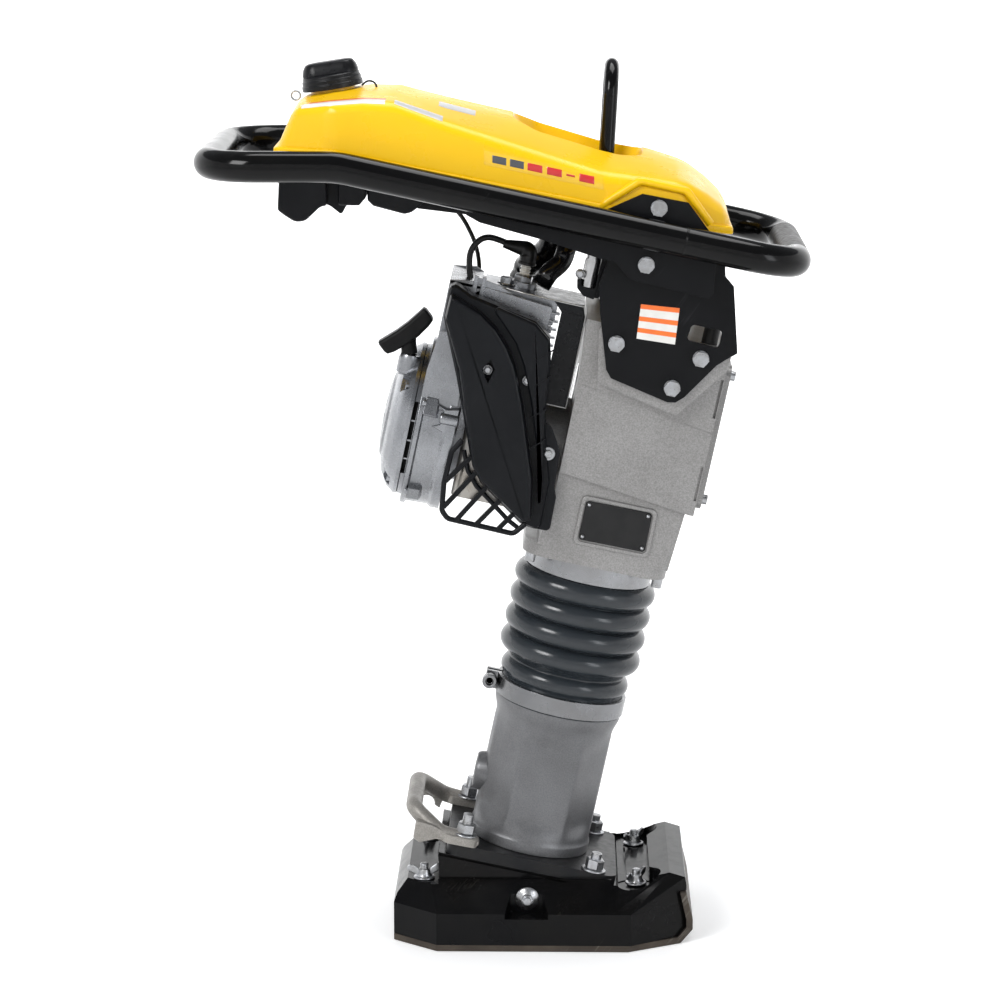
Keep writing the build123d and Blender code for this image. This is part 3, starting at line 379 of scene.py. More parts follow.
def as_object(shape, name="part"):
    if isinstance(shape, bpy.types.Object):
        return shape
    mesh = bpy.data.meshes.new(name)
    shape.to_mesh(mesh)
    shape.free()
    obj = bpy.data.objects.new(name, mesh)
    bpy.context.scene.collection.objects.link(obj)
    return obj


def as_shape(obj):
    """The mesh of an object as a loose shape; the object goes."""
    shape = bmesh.new()
    shape.from_mesh(obj.data)
    bpy.data.objects.remove(obj)
    return shape


def baked(obj):
    """The object with its modifiers applied to its mesh."""
    bpy.context.view_layer.update()
    mesh = bpy.data.meshes.new_from_object(obj.evaluated_get(bpy.context.evaluated_depsgraph_get()))
    obj.modifiers.clear()
    before, obj.data = obj.data, mesh
    bpy.data.meshes.remove(before)
    return obj


def worked(shape, tools, operation):
    obj = as_object(shape)
    for tool in tools:
        tool = as_object(tool, "tool")
        change = obj.modifiers.new("change", "BOOLEAN")
        change.operation, change.object, change.solver = operation, tool, "EXACT"
        baked(obj)
        bpy.data.objects.remove(tool)
    return obj


def cut(shape, *tools):
    return worked(shape, tools, "DIFFERENCE")


def fuse(shape, *tools):
    return worked(shape, tools, "UNION")


def piece(name, shape, slot, replaces=(), place=LEG, soft=0.6, look=None, segments=2, limit=SHARP,
          body="machine", between=None):
    """A finished piece of the model, from a shape in millimetres.  soft: the width of its rounded edges.
    between: when given, the piece is fixed to no body and its place is baked into its mesh; the bodies and
    ends it holds, (body, body, start, end), are not used."""
    obj = as_object(shape, name)
    obj.name = name
    obj.data.transform(place)
    obj.data.materials.clear()
    obj.data.materials.append(look or looks[slot])
    for polygon_ in obj.data.polygons:
        polygon_.use_smooth = True
        polygon_.material_index = 0
    if soft:
        edged(obj, soft * MM, segments, limit)
    obj.modifiers.new("normals", "WEIGHTED_NORMAL")
    if between:
        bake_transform(obj)
    else:
        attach(obj, body)
    if replaces:
        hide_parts(*replaces)
    return obj


def patch(host, rows, way, lift=0.4, thick=0.9):
    """A thin closed sheet laid on a host shape, under a grid of points seen along a direction."""
    bpy.context.view_layer.update()
    tops = []
    for row in rows:
        tops.append([])
        for point in row:
            _, place, normal, _ = host.ray_cast(Vector(point), Vector(way).normalized())
            tops[-1].append((place + normal * lift, place - normal * (thick - lift)))
    shape = bmesh.new()
    grid = [[(shape.verts.new(top), shape.verts.new(under)) for top, under in row] for row in tops]
    for first, second in zip(grid, grid[1:]):
        for i in range(len(first) - 1):
            for layer in (0, 1):
                corners = [first[i][layer], first[i + 1][layer], second[i + 1][layer], second[i][layer]]
                shape.faces.new(corners if layer else corners[::-1])
    rim = grid[0][:-1] + [row[-1] for row in grid[:-1]] + grid[-1][:0:-1] + [row[0] for row in grid[:0:-1]]
    for (top, under), (next_top, next_under) in zip(rim, rim[1:] + rim[:1]):
        shape.faces.new((top, next_top, next_under, under))
    bmesh.ops.recalc_face_normals(shape, faces=shape.faces)
    return shape


def row_point(x, y, z):
    """A point of the leg frame, in the row frame, in metres."""
    return LEG @ Vector((x, y, z))


def between_heights(table, at):
    """Straight-line reading of a table of (place, value)."""
    for (x0, v0), (x1, v1) in zip(table, table[1:]):
        if at <= x1:
            return v0 + (v1 - v0) * (at - x0) / (x1 - x0)
    return table[-1][1]


def hex_bolt(at, axis="Y", side=-1, across=16.0, washer=9.0, height=7.5):
    """A washer-faced hexagon bolt whose head stands out from the point at towards side."""
    flange = [(4.0, -4.0), (4.0, 0.0), (washer, 0.0), (washer + 0.3, 0.8), (washer - 0.4, 1.8), (0.0, 1.9)]
    head = [(1.7, -0.3), (height - 1.0, 0.0), (height, -1.1)]
    body = lathe([(r, side * t) for r, t in flange], axis, at, 40)
    hexagon = slab(polygon(6, across, 0.3), [(side * t, g) for t, g in head], axis)
    recess = lathe([(across * 0.30, side * (height - 0.1)), (across * 0.30, side * (height + 0.15)),
                    (across * 0.22, side * (height + 0.2)), (0, side * (height - 0.2))], axis, at, 32)
    return gather(body, moved(hexagon, at), recess)


def socket_screw(at, axis, side, radius=5.0, height=6.0, depth=3.0):
    """A round-headed screw with a hexagon socket."""
    rim = [(0.0, -2.0), (radius, -2.0), (radius, height - 0.7), (radius - 0.7, height),
        (radius * 0.55, height), (radius * 0.5, height - depth), (0.0, height - depth)]
    return lathe([(r, side * t) for r, t in rim], axis, at, 24)


# ---- tank, cap, hoop surroundings ------------------------------------------------------------
TANK_TOP = [(-266, 949), (-226, 957), (-190, 961), (-156, 961), (-100, 948), (-24, 931), (66, 906),
            (123, 891), (160, 879), (184, 861), (205, 841)]
TANK_DROP = [(-266, 5), (-226, 7), (-156, 10), (-100, 18), (-24, 26), (66, 30), (123, 22), (160, 15),
             (205, 7)]
TANK_HALF = [(-266, 96), (-226, 126), (160, 126), (184, 111), (205, 95)]
TANK_FOOT_REAR, TANK_FOOT_FRONT = (-289, 893), (213, 806.5)
FOOT_LEVEL, FOOT_BREAK, FOOT_FALL = 893, -226, 86.5 / 439
WELL_MIDDLE, WELL_TOP, WELL_SLOPE = 44, 918, -0.265
RIM_BESIDE_TANK = 124.5
HOOP_FOOT_X = 73
CAP_PLACE = Matrix.Translation((-229.6, 0, 957.5)) @ Matrix.Rotation(radians(-9), 4, "Y")


def foot_level(x):
    """The height of the tank's lower edge: level at the rear, then falling along the rails."""
    return min(FOOT_LEVEL, FOOT_LEVEL - (x - FOOT_BREAK) * FOOT_FALL)


def tank_crown(x, y):
    share = abs(y) / between_heights(TANK_HALF, x)
    return between_heights(TANK_TOP, x) - between_heights(TANK_DROP, x) * share ** 1.35


def tank_station(x):
    """A section across the tank: the side, then over the top to the other side."""
    half = between_heights(TANK_HALF, x)
    foot_x = x + (TANK_FOOT_REAR[0] - TANK_TOP[0][0] if x == TANK_TOP[0][0] else 0)
    foot_x += TANK_FOOT_FRONT[0] - TANK_TOP[-1][0] if x == TANK_TOP[-1][0] else 0
    level = foot_level(foot_x)
    shares = (-1, -0.82, -0.62, -0.4, -0.2, 0, 0.2, 0.4, 0.62, 0.82, 1)
    over = [(x, share * (half - 4), tank_crown(x, share * half)) for share in shares]
    return [(foot_x, -half - 1, level), *over, (foot_x, half + 1, level)]


def well_loop(depth, more):
    """The filler well's outline at a depth under the sloping top."""
    plan = [(-70, -30), (-48, -54), (44, -58), (68, -44), (68, 44), (44, 58), (-48, 54), (-70, 30)]
    loop = []
    for x, y in rounded(grow(plan, more), 20, 4):
        along = x + WELL_MIDDLE
        loop.append((along, y, WELL_TOP + WELL_SLOPE * (along - WELL_MIDDLE) - depth))
    return loop


def tank():
    body = as_object(skin([tank_station(x) for x, _ in TANK_TOP]))
    baked(edged(body, 11, 5, 19))
    well = skin([well_loop(*level) for level in ((-50, 26), (-8, 10), (8, 3), (26, -4), (44, -8))])
    slot = moved(slab(rounded([(-22, -44), (34, -44), (34, 44), (-22, 44)], 14), [(780, 0), (900, 0)], "Z"),
                 (HOOP_FOOT_X, 0, 0))
    neck = lathe([(25, -20), (25, 30)])
    bmesh.ops.transform(neck, matrix=CAP_PLACE, verts=neck.verts)
    cut(body, well, slot, neck)
    return body


shell = tank()
host = bpy.data.objects.new("host", shell.data.copy())
bpy.context.scene.collection.objects.link(host)
piece("tank_shell", shell, "tank_yellow", ("fuel_tank",), ROW, 1.4, limit=38)

lip = [(-289, -99), (-226, -128), (160, -128), (185, -113), (212, -98), (212, 98), (185, 113), (160, 128),
       (-226, 128), (-289, 99)]
lip_low = [(x, y, foot_level(x)) for x, y in rounded(lip, 9, 3)]
piece("tank_lip", skin([lip_low, [(x, y, z + 9) for x, y, z in lip_low]]), "tank_yellow",
      place=ROW, soft=2.2)

neck_ring = lathe([(21, -12), (25, -12), (25, 1), (23.5, 2), (21, 2)], ring=True)
piece("tank_neck", neck_ring, "tank_yellow", place=ROW @ CAP_PLACE, soft=0.4)

# the raised rim where the tank stands round the side bracket
for side in (-1, 1):
    rim = rounded([(66, 834), (74, 842), (110, 865), (160, 854), (186, 818)], 9, 4, False)
    bead = tube([(x, side * RIM_BESIDE_TANK, z + 4) for x, z in rim], 4.5, 12)
    piece(f"tank_rim_{'right' if side < 0 else 'left'}", bead, "tank_yellow", place=ROW, soft=0)


def print_look(name, color, other, rough=(0.3, 0.42), coat=0.3):
    return surface(name, color, other, rough, 0.0, 15, coat=coat)


white = print_look("label_white", (0.72, 0.71, 0.68), (0.66, 0.65, 0.61))
orange = print_look("label_orange", (0.82, 0.16, 0.015), (0.76, 0.14, 0.015))
grey_print = print_look("label_grey", (0.06, 0.065, 0.075), (0.07, 0.075, 0.085))
red_print = print_look("label_red", (0.60, 0.022, 0.025), (0.56, 0.02, 0.022))
clear_film = print_look("label_film", (0.86, 0.53, 0.014), (0.84, 0.51, 0.014), (0.14, 0.2), 0.6)
pale_print = print_look("label_pale", (0.50, 0.50, 0.50), (0.46, 0.46, 0.46))


def steps_between(low, high, count):
    return [low + (high - low) * i / count for i in range(count + 1)]


def top_label(name, x0, x1, near, far, look):
    """A blank label on top of the tank, between two shares of its half width."""
    rows = []
    for x in steps_between(x0, x1, 14):
        half = between_heights(TANK_HALF, x)
        rows.append([(x, half * share, 1050) for share in steps_between(near, far, 4)])
    piece(name, patch(host, rows, (0, 0, -1)), "tank_yellow", place=ROW, soft=0, look=look)


def side_label(name, x0, x1, z0, z1, look, lift):
    """A blank label on the tank's near side, along its slope."""
    rows = []
    for x in steps_between(x0, x1, 10):
        fall = -0.212 * (x + 57)
        rows.append([(x, -200, z + fall) for z in steps_between(z0, z1, 3)])
    piece(name, patch(host, rows, (0, 1, 0), lift), "tank_yellow", place=ROW, soft=0, look=look)


PRINT_HEIGHT, DASH_HEIGHT = (889.5, 897.5), (892.5, 894.5)
top_label("label_shoulder_long", -258, -166, -0.93, -0.82, white)
top_label("label_shoulder_band", -250, -166, -0.81, -0.76, orange)
top_label("label_shoulder_short", -156, -104, -0.92, -0.8, pale_print)
top_label("label_crown", -110, -70, -0.5, -0.32, pale_print)
side_label("label_film", -59, 70, 885.5, 901, clear_film, 0.25)
for index, start in enumerate((-50, -31)):
    side_label(f"label_grey_{index}", start, start + 15, *PRINT_HEIGHT, grey_print, 0.5)
red_spots = ((-12, 4, PRINT_HEIGHT), (9, 25, PRINT_HEIGHT), (30, 39, DASH_HEIGHT), (44, 60, PRINT_HEIGHT))
for index, (start, end, height) in enumerate(red_spots):
    side_label(f"label_red_{index}", start, end, *height, red_print, 0.5)
bpy.data.objects.remove(host)


def cap():
    base = lathe([(25.4, 1.0), (34, 1.0), (34, 6.5), (33, 7.2), (33, 11.5), (32, 12.4), (31.6, 15.5),
        (30, 16.6), (0, 16.6)], steps=72)
    ribs = [moved(block(32.6, 33.7, -0.8, 0.8, 1.4, 6.2), turn=turn) for turn in range(0, 360, 8)]
    outline = rounded([(-31, -19), (31, -19), (31, 19), (-31, 19)], 16, 6)
    knob = slab(outline, [(16, 0), (19, 0.2), (25, -1.6), (29, -4.2), (30.4, -7), (31, -12)], "Z")
    return gather(base, *ribs, knob)


piece("cap_knob", cap(), "cap_plastic", ("fuel_cap",), ROW @ CAP_PLACE, 0.9, segments=3, limit=28,
      body="cap")
tether = rounded([(-197, -12, 962), (-190, -13, 968), (-181, -14, 965), (-180, -15, 956)], 8, 5, False)
piece("cap_tether", tube(tether, 1.1, 10), "cap_plastic", place=ROW, soft=0)
eye = [(-268 + 5 * cos(2 * pi * k / 24), -40, 953 + 5 * sin(2 * pi * k / 24)) for k in range(25)]
piece("cap_tether_eye", tube(eye, 1.1, 10), "zinc", place=ROW, soft=0)


# ---- engine side: guard, shield, shroud, fan housing, starter ------------------------------
GUARD_EDGE = [(-82, 481), (-79, 487), (-87, 531), (-116, 613), (-132, 650), (-145, 670), (-161, 687),
              (-182, 701), (-214, 716)]
GUARD_PANEL = [(-218, 714), (-219, 686), (-192, 634), (-171, 573), (-156, 532), (-145, 518), (-88, 481),
               *GUARD_EDGE[1:-1]]
GUARD_BASE = [(-221, 727), (-220, 684), (-193, 623), (-161, 542), (-143, 512), (-90, 476), (-66, 472),
              (-67, 530), (-88, 600), (-95, 662), (-101, 686), (-120, 701), (-196, 715)]
GUARD_BAND = [(-176, 712), (-120, 700), (-101, 685), (-96, 662), (-89, 600), (-75, 520), (-73, 492),
              (-79, 533), (-108, 616), (-124, 653), (-137, 674), (-154, 691)]
MUFFLER_ROOM = (-175, -97, -93, -73, 487, 653)


def guard():
    base = as_object(slab(rounded(GUARD_BASE, 7, 3), [(-74, 0), (-96, 0), (-100, -2.5)]))
    cut(base, block(*MUFFLER_ROOM))
    panel = slab(rounded(GUARD_PANEL, [3, 6, 14, 14, 10, 10, 4, 4, 12, 14, 20, 16, 14, 10], 5),
                 [(-99, 0), (-116, -0.5), (-120, -2), (-122, -6)])
    panel = cut(panel, slab(grow([(-160, 653), (-154, 643), (-158, 628), (-167, 640)], 0.5),
                            [(-130, 0), (-107, 0)]))
    band = slab(rounded(GUARD_BAND, 7, 4), [(-99, 0), (-107, 0), (-109, -2)])
    ribs = []
    for x, z, length in ((-104, 668, 26), (-99, 640, 20), (-96, 604, 22), (-90, 570, 20)):
        rib = slab([(-length / 2, -0.6), (length / 2, -0.6), (length / 2, 0.6), (-length / 2, 0.6)],
                   [(-109.5, 0), (-107, 0)])
        ribs.append(moved(rib, (x, 0, z), -42, "Y"))
    return gather(as_shape(base), as_shape(panel), band, *ribs)


piece("exhaust_guard", guard(), "guard_plastic", ("muffler_guard",), soft=1.6, segments=3, limit=30)


def grille():
    """The lattice under the guard: a rail along the panel, an outer rail and bars across."""
    outer = rounded([(-172, 556), (-181, 540), (-182, 504), (-178, 473), (-170, 465.5), (-95, 464),
        (-84, 478)], 8, 4, False)
    rails = [tube([(x, -101, z) for x, z in outer], 3.2, 8)]
    inner = [(-168, 545), (-159, 523), (-146, 508), (-104, 478), (-92, 472)]
    rails.append(tube([(x, -101, z) for x, z in rounded(inner, 8, 4, False)], 2.8, 8))
    bars = []
    for x0, z0, x1, z1 in ((-158, 540, -181, 506), (-149, 524, -177, 477), (-133, 513, -160, 466),
                           (-116, 500, -138, 465), (-99, 487, -113, 465)):
        across = Vector((z0 - z1, x1 - x0)).normalized() * 2.6
        strip = [(x0 + across.x, z0 + across.y), (x1 + across.x, z1 + across.y),
                 (x1 - across.x, z1 - across.y), (x0 - across.x, z0 - across.y)]
        bars.append(slab(strip, [(-104, 0), (-97.5, 0)]))
    return gather(*rails, *bars)


piece("guard_grille", grille(), "guard_plastic", soft=0.8)

ear = slab(rounded([(-90, 596), (-79, 590), (-64, 566), (-61, 524), (-57, 513), (-56, 474), (-84, 474),
    (-92, 530)], 5, 4), [(-92.5, 0), (-97, 0)])
piece("guard_ear", ear, "guard_plastic", soft=1.2)
screws = gather(hex_bolt((-76, -97, 560), across=9, washer=7.5, height=5),
                hex_bolt((-161, -110, 640), across=8, washer=5.5, height=5),
                hex_bolt((-116, -102, 636), across=8, washer=5.5, height=5.5))
piece("guard_screws", screws, "zinc", soft=0.35)


def shield():
    upright = slab([(-94, 607), (-66, 607), (-67, 713), (-94, 713)], [(-60, 0), (-58.5, 0)])
    foot = slab([(-94, 607), (-66, 607), (-66, 608.5), (-94, 608.5)], [(-60, 0), (-45, 0)])
    plan = [(-168, -30), (-161, -44), (-140, -54), (-104, -59.8), (-70, -60), (-69, 38), (-112, 40),
        (-150, 24)]
    top = slab(rounded(plan, 10, 4), [(722.3, 0), (723.9, 0)], "Z")
    top = cut(top, lathe([(17, 715), (17, 730)], at=(-142, -10, 0)))
    side = slab([(-104, 722.5), (-70, 722.5), (-66, 712), (-94, 712)], [(-60, 0), (-58.5, 0)])
    return gather(upright, foot, as_shape(top), side)


piece("hot_side_shield", shield(), "shield_steel", ("heat_shield",), soft=0.35)
rim_look = surface("cut_edge", (0.62, 0.62, 0.61), (0.5, 0.5, 0.49), (0.25, 0.4), 1.0, 10)
edge_line = [(-168, -30), (-161, -44), (-140, -54), (-104, -59.8), (-70, -60)]
rims = [tube([(x, y, 723.1) for x, y in rounded(edge_line, 10, 4, False)], 0.9, 8),
        tube([(-66.5, -60, 608), (-66.5, -60, 712), (-70, -60, 722)], 0.8, 8),
        tube([(-94, -60, 607.6), (-66.5, -60, 607.6)], 0.8, 8)]
piece("shield_cut_edges", gather(*rims), "shield_steel", soft=0, look=rim_look)

AXLE = (0, 0, 549.5)


def round_engine(radius, angle, along):
    """A point about the engine's axle; angle 0 faces the viewer's side, 90 is up."""
    turn = radians(angle)
    return (along, -radius * cos(turn), AXLE[2] + radius * sin(turn))


def turned_about_axle(shape, angle):
    to_axle = Matrix.Translation(AXLE) @ Matrix.Rotation(radians(-angle), 4, "X")
    bmesh.ops.transform(shape, matrix=to_axle, verts=shape.verts)
    return shape


VENTS = range(0, 360, 45)
POCKETS = (40, -56, 128, 222)
ROPE_Y = -38.3
GRIP_TURN = 41.4


def starter():
    cover = lathe([(0, -240), (74, -238), (82, -233), (87, -232.6), (87, -236.5), (84.5, -239.5),
        (80.5, -245), (75, -249), (70, -251), (67, -253.5), (58, -256.5), (49, -258), (46, -260.5),
        (31, -263), (12, -264), (0, -264)][::-1], "X", AXLE, 80)
    pockets = [turned_about_axle(block(-266, -242, -92, -70, -11, 11), a) for a in POCKETS]
    cover = cut(cover, *pockets, *[turned_about_axle(block(-268, -258, -30, -13, -2.6, 2.6), angle)
                                   for angle in VENTS])
    screws = [socket_screw(round_engine(75.5, angle - 3, -242), "X", -1, 4.2, 4, 2) for angle in POCKETS]
    ring = lathe([(82, -234), (86.5, -231.5), (86.5, -227), (82, -226.5)], "X", AXLE, 80, True)
    slots = [turned_about_axle(block(-233, -227.6, -93, -80, -10.4, 10.4), angle)
             for angle in (*range(-29, 30, 15), *range(120, 250, 15))]
    ring = as_shape(cut(ring, gather(*slots)))
    boss = lathe([(9, 604), (12.5, 606), (12.5, 622), (11, 627), (8, 627.5), (6, 622), (0, 621)],
                 at=(-248, ROPE_Y, 0))
    web = slab([(-257, 604), (-240, 604), (-240, 622), (-253, 620)], [(-48, 0), (-28, 0)])
    return gather(as_shape(cover), *screws, ring, boss, web)


piece("recoil_cover", starter(), "engine_casting", ("starter_cover",), soft=0.7)
# Painted shade: a near-black ring behind the starter's ring slots and near-black inlays in its vents stand
# in for the shadow inside them.
painted_shade = surface("painted_shade_inside", (0.006, 0.006, 0.006), (0.009, 0.009, 0.009), (0.6, 0.8), specular=0.2)
shade_ring = lathe([(80, -236), (80, -222), (40, -222), (40, -236)], "X", AXLE, 64, True)
vent_shade = [turned_about_axle(block(-260, -257.5, -29.8, -13.2, -2.5, 2.5), angle) for angle in VENTS]
piece("recoil_painted_shade", gather(shade_ring, *vent_shade), "engine_casting", look=painted_shade, soft=0)


def fan_case():
    drum = [(60, -226.9), (91, -226.9), (95.5, -226), (95.5, -221.5), (92.5, -219.5), (91.5, -196),
            (94.5, -192), (94.5, -182), (60, -182), (60, -186), (89, -190), (88, -222), (60, -223)]
    drum = lathe(drum, "X", AXLE, 80, True)
    duct = [slab([(-220, 600), (-222, 722), (-196, 726), (-186, 722), (-184, 600)], [(y, 0), (y + 4, 0)])
            for y in (-62, 58)]
    roof = slab([(-222, 718), (-222, 722), (-186, 722), (-186, 718)], [(-62, 0), (62, 0)])
    wall = slab([(-222, 618), (-222, 720), (-218.5, 720), (-217, 618)], [(-60, 0), (60, 0)])
    cheek = slab(rounded([(-226.5, 560), (-226.5, 622), (-221, 668), (-186, 668), (-184, 560)], 6, 3),
                 [(-86, 0), (-80, -1), (-62, -3)])
    shroud = [(-200, 640), (-196, 711), (-181, 722), (-104, 715), (-108, 660), (-112, 640)]
    shroud = slab(rounded(shroud, 4, 3), [(-62, 0), (-57, 0)])
    ribs = [slab([(x, 640), (x, 733), (x + 4.5, 733), (x + 4.5, 640)], [(-66, 0), (-50, 0)])
            for x in (-196, -187)]
    top = slab([(-196, 720), (-196, 731), (-168, 727), (-150, 720)], [(-60, 0), (-56, 0)])
    star = [(-208, 588), (-196, 584), (-181, 587), (-181, 558), (-192, 556), (-209, 562), (-200, 566),
        (-199, 581)]
    boss = slab(star, [(-84, 1), (-91, 0), (-92.5, -1.2)])
    axle = lathe([(0, -201), (5.5, -201), (6.5, -199), (6.5, -181), (0, -181)], "X", (0, -91, 573), 20)
    pads = []
    for angle in (-48, -110, 20, 150, 205):
        pads.append(turned_about_axle(slab([(-221, -99), (-206, -98), (-203, -90), (-221, -90)],
                                           [(-10, 0), (10, -1)], "Z"), angle))
        pads.append(socket_screw(round_engine(97, angle + 2, -221), "X", -1, 4, 2.5, 1.5))
    return gather(drum, *duct, roof, wall, cheek, shroud, *ribs, top, boss, axle, *pads)


piece("cooling_case", fan_case(), "engine_casting", ("fan_housing",), soft=0.8)
fins = [slab([(-118, z), (-95, z), (-95, z + 2.4), (-118, z + 2.4)], [(-57.5, 0), (-44, 0)])
        for z in range(662, 712, 9)]
piece("cylinder_fins", gather(*fins), "engine_casting", soft=0.5)
piece("head_bolt", hex_bolt((-160.6, -20, 724), "Z", 1, 12, 9.5, 9), "zinc", soft=0.4)


def grip():
    loops = []
    for t, wide, thick in ((-33, 8, 6.5), (-31.5, 10.5, 8.8), (-24, 11.5, 9.6), (-8, 11.5, 10),
                           (8, 11.5, 10), (24, 11.5, 9.6), (31.5, 10.5, 8.8), (33, 8, 6.5)):
        bend = -4 * (t / 33) ** 2
        outline = rounded([(-wide, -thick), (wide, -thick), (wide, thick), (-wide, thick)], 4.5, 3)
        loops.append([(across + bend, along, t) for along, across in outline])
    bar = skin(loops)
    moved(bar, (-256, ROPE_Y, 650), GRIP_TURN, "Y")
    stem_line = ((-257.5, 651), (-254, 641), (-251.5, 634), (-249.5, 627.5))
    stem = tube([(x, ROPE_Y, z) for x, z in stem_line], [11.5, 9.4, 8.8, 9.2], 20)
    return gather(bar, stem)


piece("pull_grip", grip(), "grip_plastic", ("starter_handle",), soft=0.9, limit=28, body="starter_grip")
rope_path = [(-238 - 12.5 * share, ROPE_Y, 560 + 71 * share) for share in steps_between(0, 1, 24)]
piece("pull_rope", tube(rope_path, 2, 12), "rope", ("starter_rope",), soft=0,
      between=("machine", "starter_grip", row_point(*rope_path[0]), row_point(*rope_path[-1])))


def cord_line(points, radius, name):
    """The mesh of a round cord whose line is a smooth spline over its points, in millimetres."""
    line = bpy.data.curves.new(name, "CURVE")
    line.dimensions = "3D"
    spline = line.splines.new("NURBS")
    spline.points.add(len(points) - 1)
    for spot, point in zip(spline.points, points):
        spot.co = (*point, 1.0)
    spline.order_u, spline.use_endpoint_u, spline.resolution_u = 3, True, 10
    holder = bpy.data.objects.new(name, line)
    bpy.context.scene.collection.objects.link(holder)
    bpy.context.view_layer.update()
    read = bpy.data.meshes.new_from_object(holder)
    path = [vertex.co.copy() for vertex in read.vertices]
    bpy.data.objects.remove(holder)
    bpy.data.meshes.remove(read)
    return tube(path, radius, 14)


# ---- ignition, intake and fuel ----------------------------------------------------------------
PLUG = (-142, -10, 0)
insulator = [(0, 738), (6.2, 738)]
for ring_at in (740, 744.2, 748.4, 752.6):
    insulator += [(5.0, ring_at), (5.9, ring_at + 0.9), (5.9, ring_at + 2.4), (5.0, ring_at + 3.3)]
insulator += [(4.4, 757.5), (0, 757.5)]
piece("plug_insulator", lathe(insulator, at=PLUG, steps=32), "ceramic", ("spark_plug",), soft=0.3)
plug_hexagon = moved(slab(polygon(6, 19, 0.4), [(729, -1), (730, 0), (736.5, 0), (737.6, -1.2)], "Z"), PLUG)
plug_seat = lathe([(0, 720), (12, 724), (12.4, 725.6), (11.6, 727), (8, 729), (0, 729)], at=PLUG)
piece("plug_base", gather(plug_hexagon, plug_seat), "zinc", soft=0.4)

boot_path = rounded([(-142, -10, 750), (-142, -10, 766), (-172, -10, 767)], 9, 8, False)
sizes = [9.2, 9.2, 9.4, 9.8, 10.2, 10.4, 10.2, 9.8, 9.2, 8.6]
boot_sizes = [sizes[min(i, len(sizes) - 1)] for i in range(len(boot_path))]
boot_sizes[-1] = 4.6
boot_rim = lathe([(9.4, 749), (10.4, 749.5), (10.4, 752), (9.4, 752.5)], at=PLUG, ring=True)
boot = gather(tube(boot_path, boot_sizes, 24), boot_rim)
piece("plug_cap", boot, "cable_rubber", ("plug_boot",), soft=0.6)
LEAD = [(-200, -10, 720), (-205, -10, 735), (-207, -10, 752), (-198, -10, 768), (-183, -10, 772),
        (-160, -10, 766)]
piece("ignition_wire", cord_line(LEAD, 3.5, "lead"), "cable_rubber", ("ignition_lead",), soft=0)

hose_path = rounded([(-141, 79, 690), (-141, 72, 738), (-119, 16, 764), (-117, 8, 806)], 36, 12, False)
hose_sizes = []
for index in range(len(hose_path)):
    share = index / (len(hose_path) - 1)
    bead = 1.6 * max(0, sin(share * pi * 9)) ** 3 * (0.25 < share < 0.9)
    hose_sizes.append(15 + bead + 1.2 * (share < 0.12))
piece("intake_elbow", tube(hose_path, hose_sizes, 32), "hose_rubber", ("intake_hose",), soft=0)
breather = rounded([(-101, -18, 795), (-104, -22, 762), (-116, -30, 748), (-122, -34, 733)], 20, 8, False)
piece("breather_hose", tube(breather, 11, 28), "hose_rubber", soft=0)

can = lathe([(0, 746), (6.5, 746), (8.2, 748), (8.6, 752), (8.6, 779), (7.6, 782), (7.6, 790), (0, 790)],
            at=(-73, -88, 0), steps=40)
piece("fuel_filter_can", can, "filter_metal", ("fuel_filter",), soft=0.4)
hook = rounded([(-86, 757), (-84, 747), (-76, 740), (-63, 738), (-61, 795), (-64, 795), (-64.5, 750),
                (-80, 750), (-81, 757)], 2, 3)
back = [(-64, 740), (-58, 740), (-58, 795), (-64, 795)]
holder = gather(slab(hook, [(-97, 0), (-80, 0)]), slab(back, [(-96, 0), (-82, 0)]))
piece("fuel_filter_bracket", holder, "bracket_paint", soft=0.8)
piece("fuel_filter_bolt", hex_bolt((-84, -94, 763), across=8, washer=5, height=5), "zinc", soft=0.3)


def lobed_housing():
    left = rounded([(-282, 889), (-285, 833), (-277, 827), (-266, 820), (-255, 821), (-238, 837),
        (-231, 838), (-231, 889)], [2, 5, 9, 12, 12, 12, 3, 2], 5)
    middle = [(-233, 889), (-233, 838), (-228, 836), (-216, 826.5), (-211, 836), (-211, 889)]
    right = rounded([(-219, 885), (-219, 838), (-196, 838), (-189, 846), (-186, 870), (-190, 885)], 3, 3)
    rear = rounded([(-188, 866), (-187, 843), (-181, 837), (-147, 828), (-139, 830), (-126, 840),
        (-122, 852)], [2, 4, 5, 8, 8, 4, 3], 4)
    front = rounded([(-150, 866), (-135, 832), (-60, 823), (20, 808), (34, 838), (-40, 855)], 5, 3)
    lobes = [slab(outline, [(-half, -1.5), (2 - half, 0), (half - 2, 0), (half, -1.5)])
             for outline, half in ((left, 100), (right, 98), (rear, 92))]
    middle = slab(rounded(middle, 2.5, 3), [(-84, 0), (84, 0)])
    return gather(lobes[0], middle, *lobes[1:], slab(front, [(-70, 0), (70, 0)]))


piece("filter_housing", lobed_housing(), "housing_plastic", ("air_filter_housing",), ROW, 1.2,
      segments=3)


CARB_X = -141
BOWL = (-144, 79, 0)


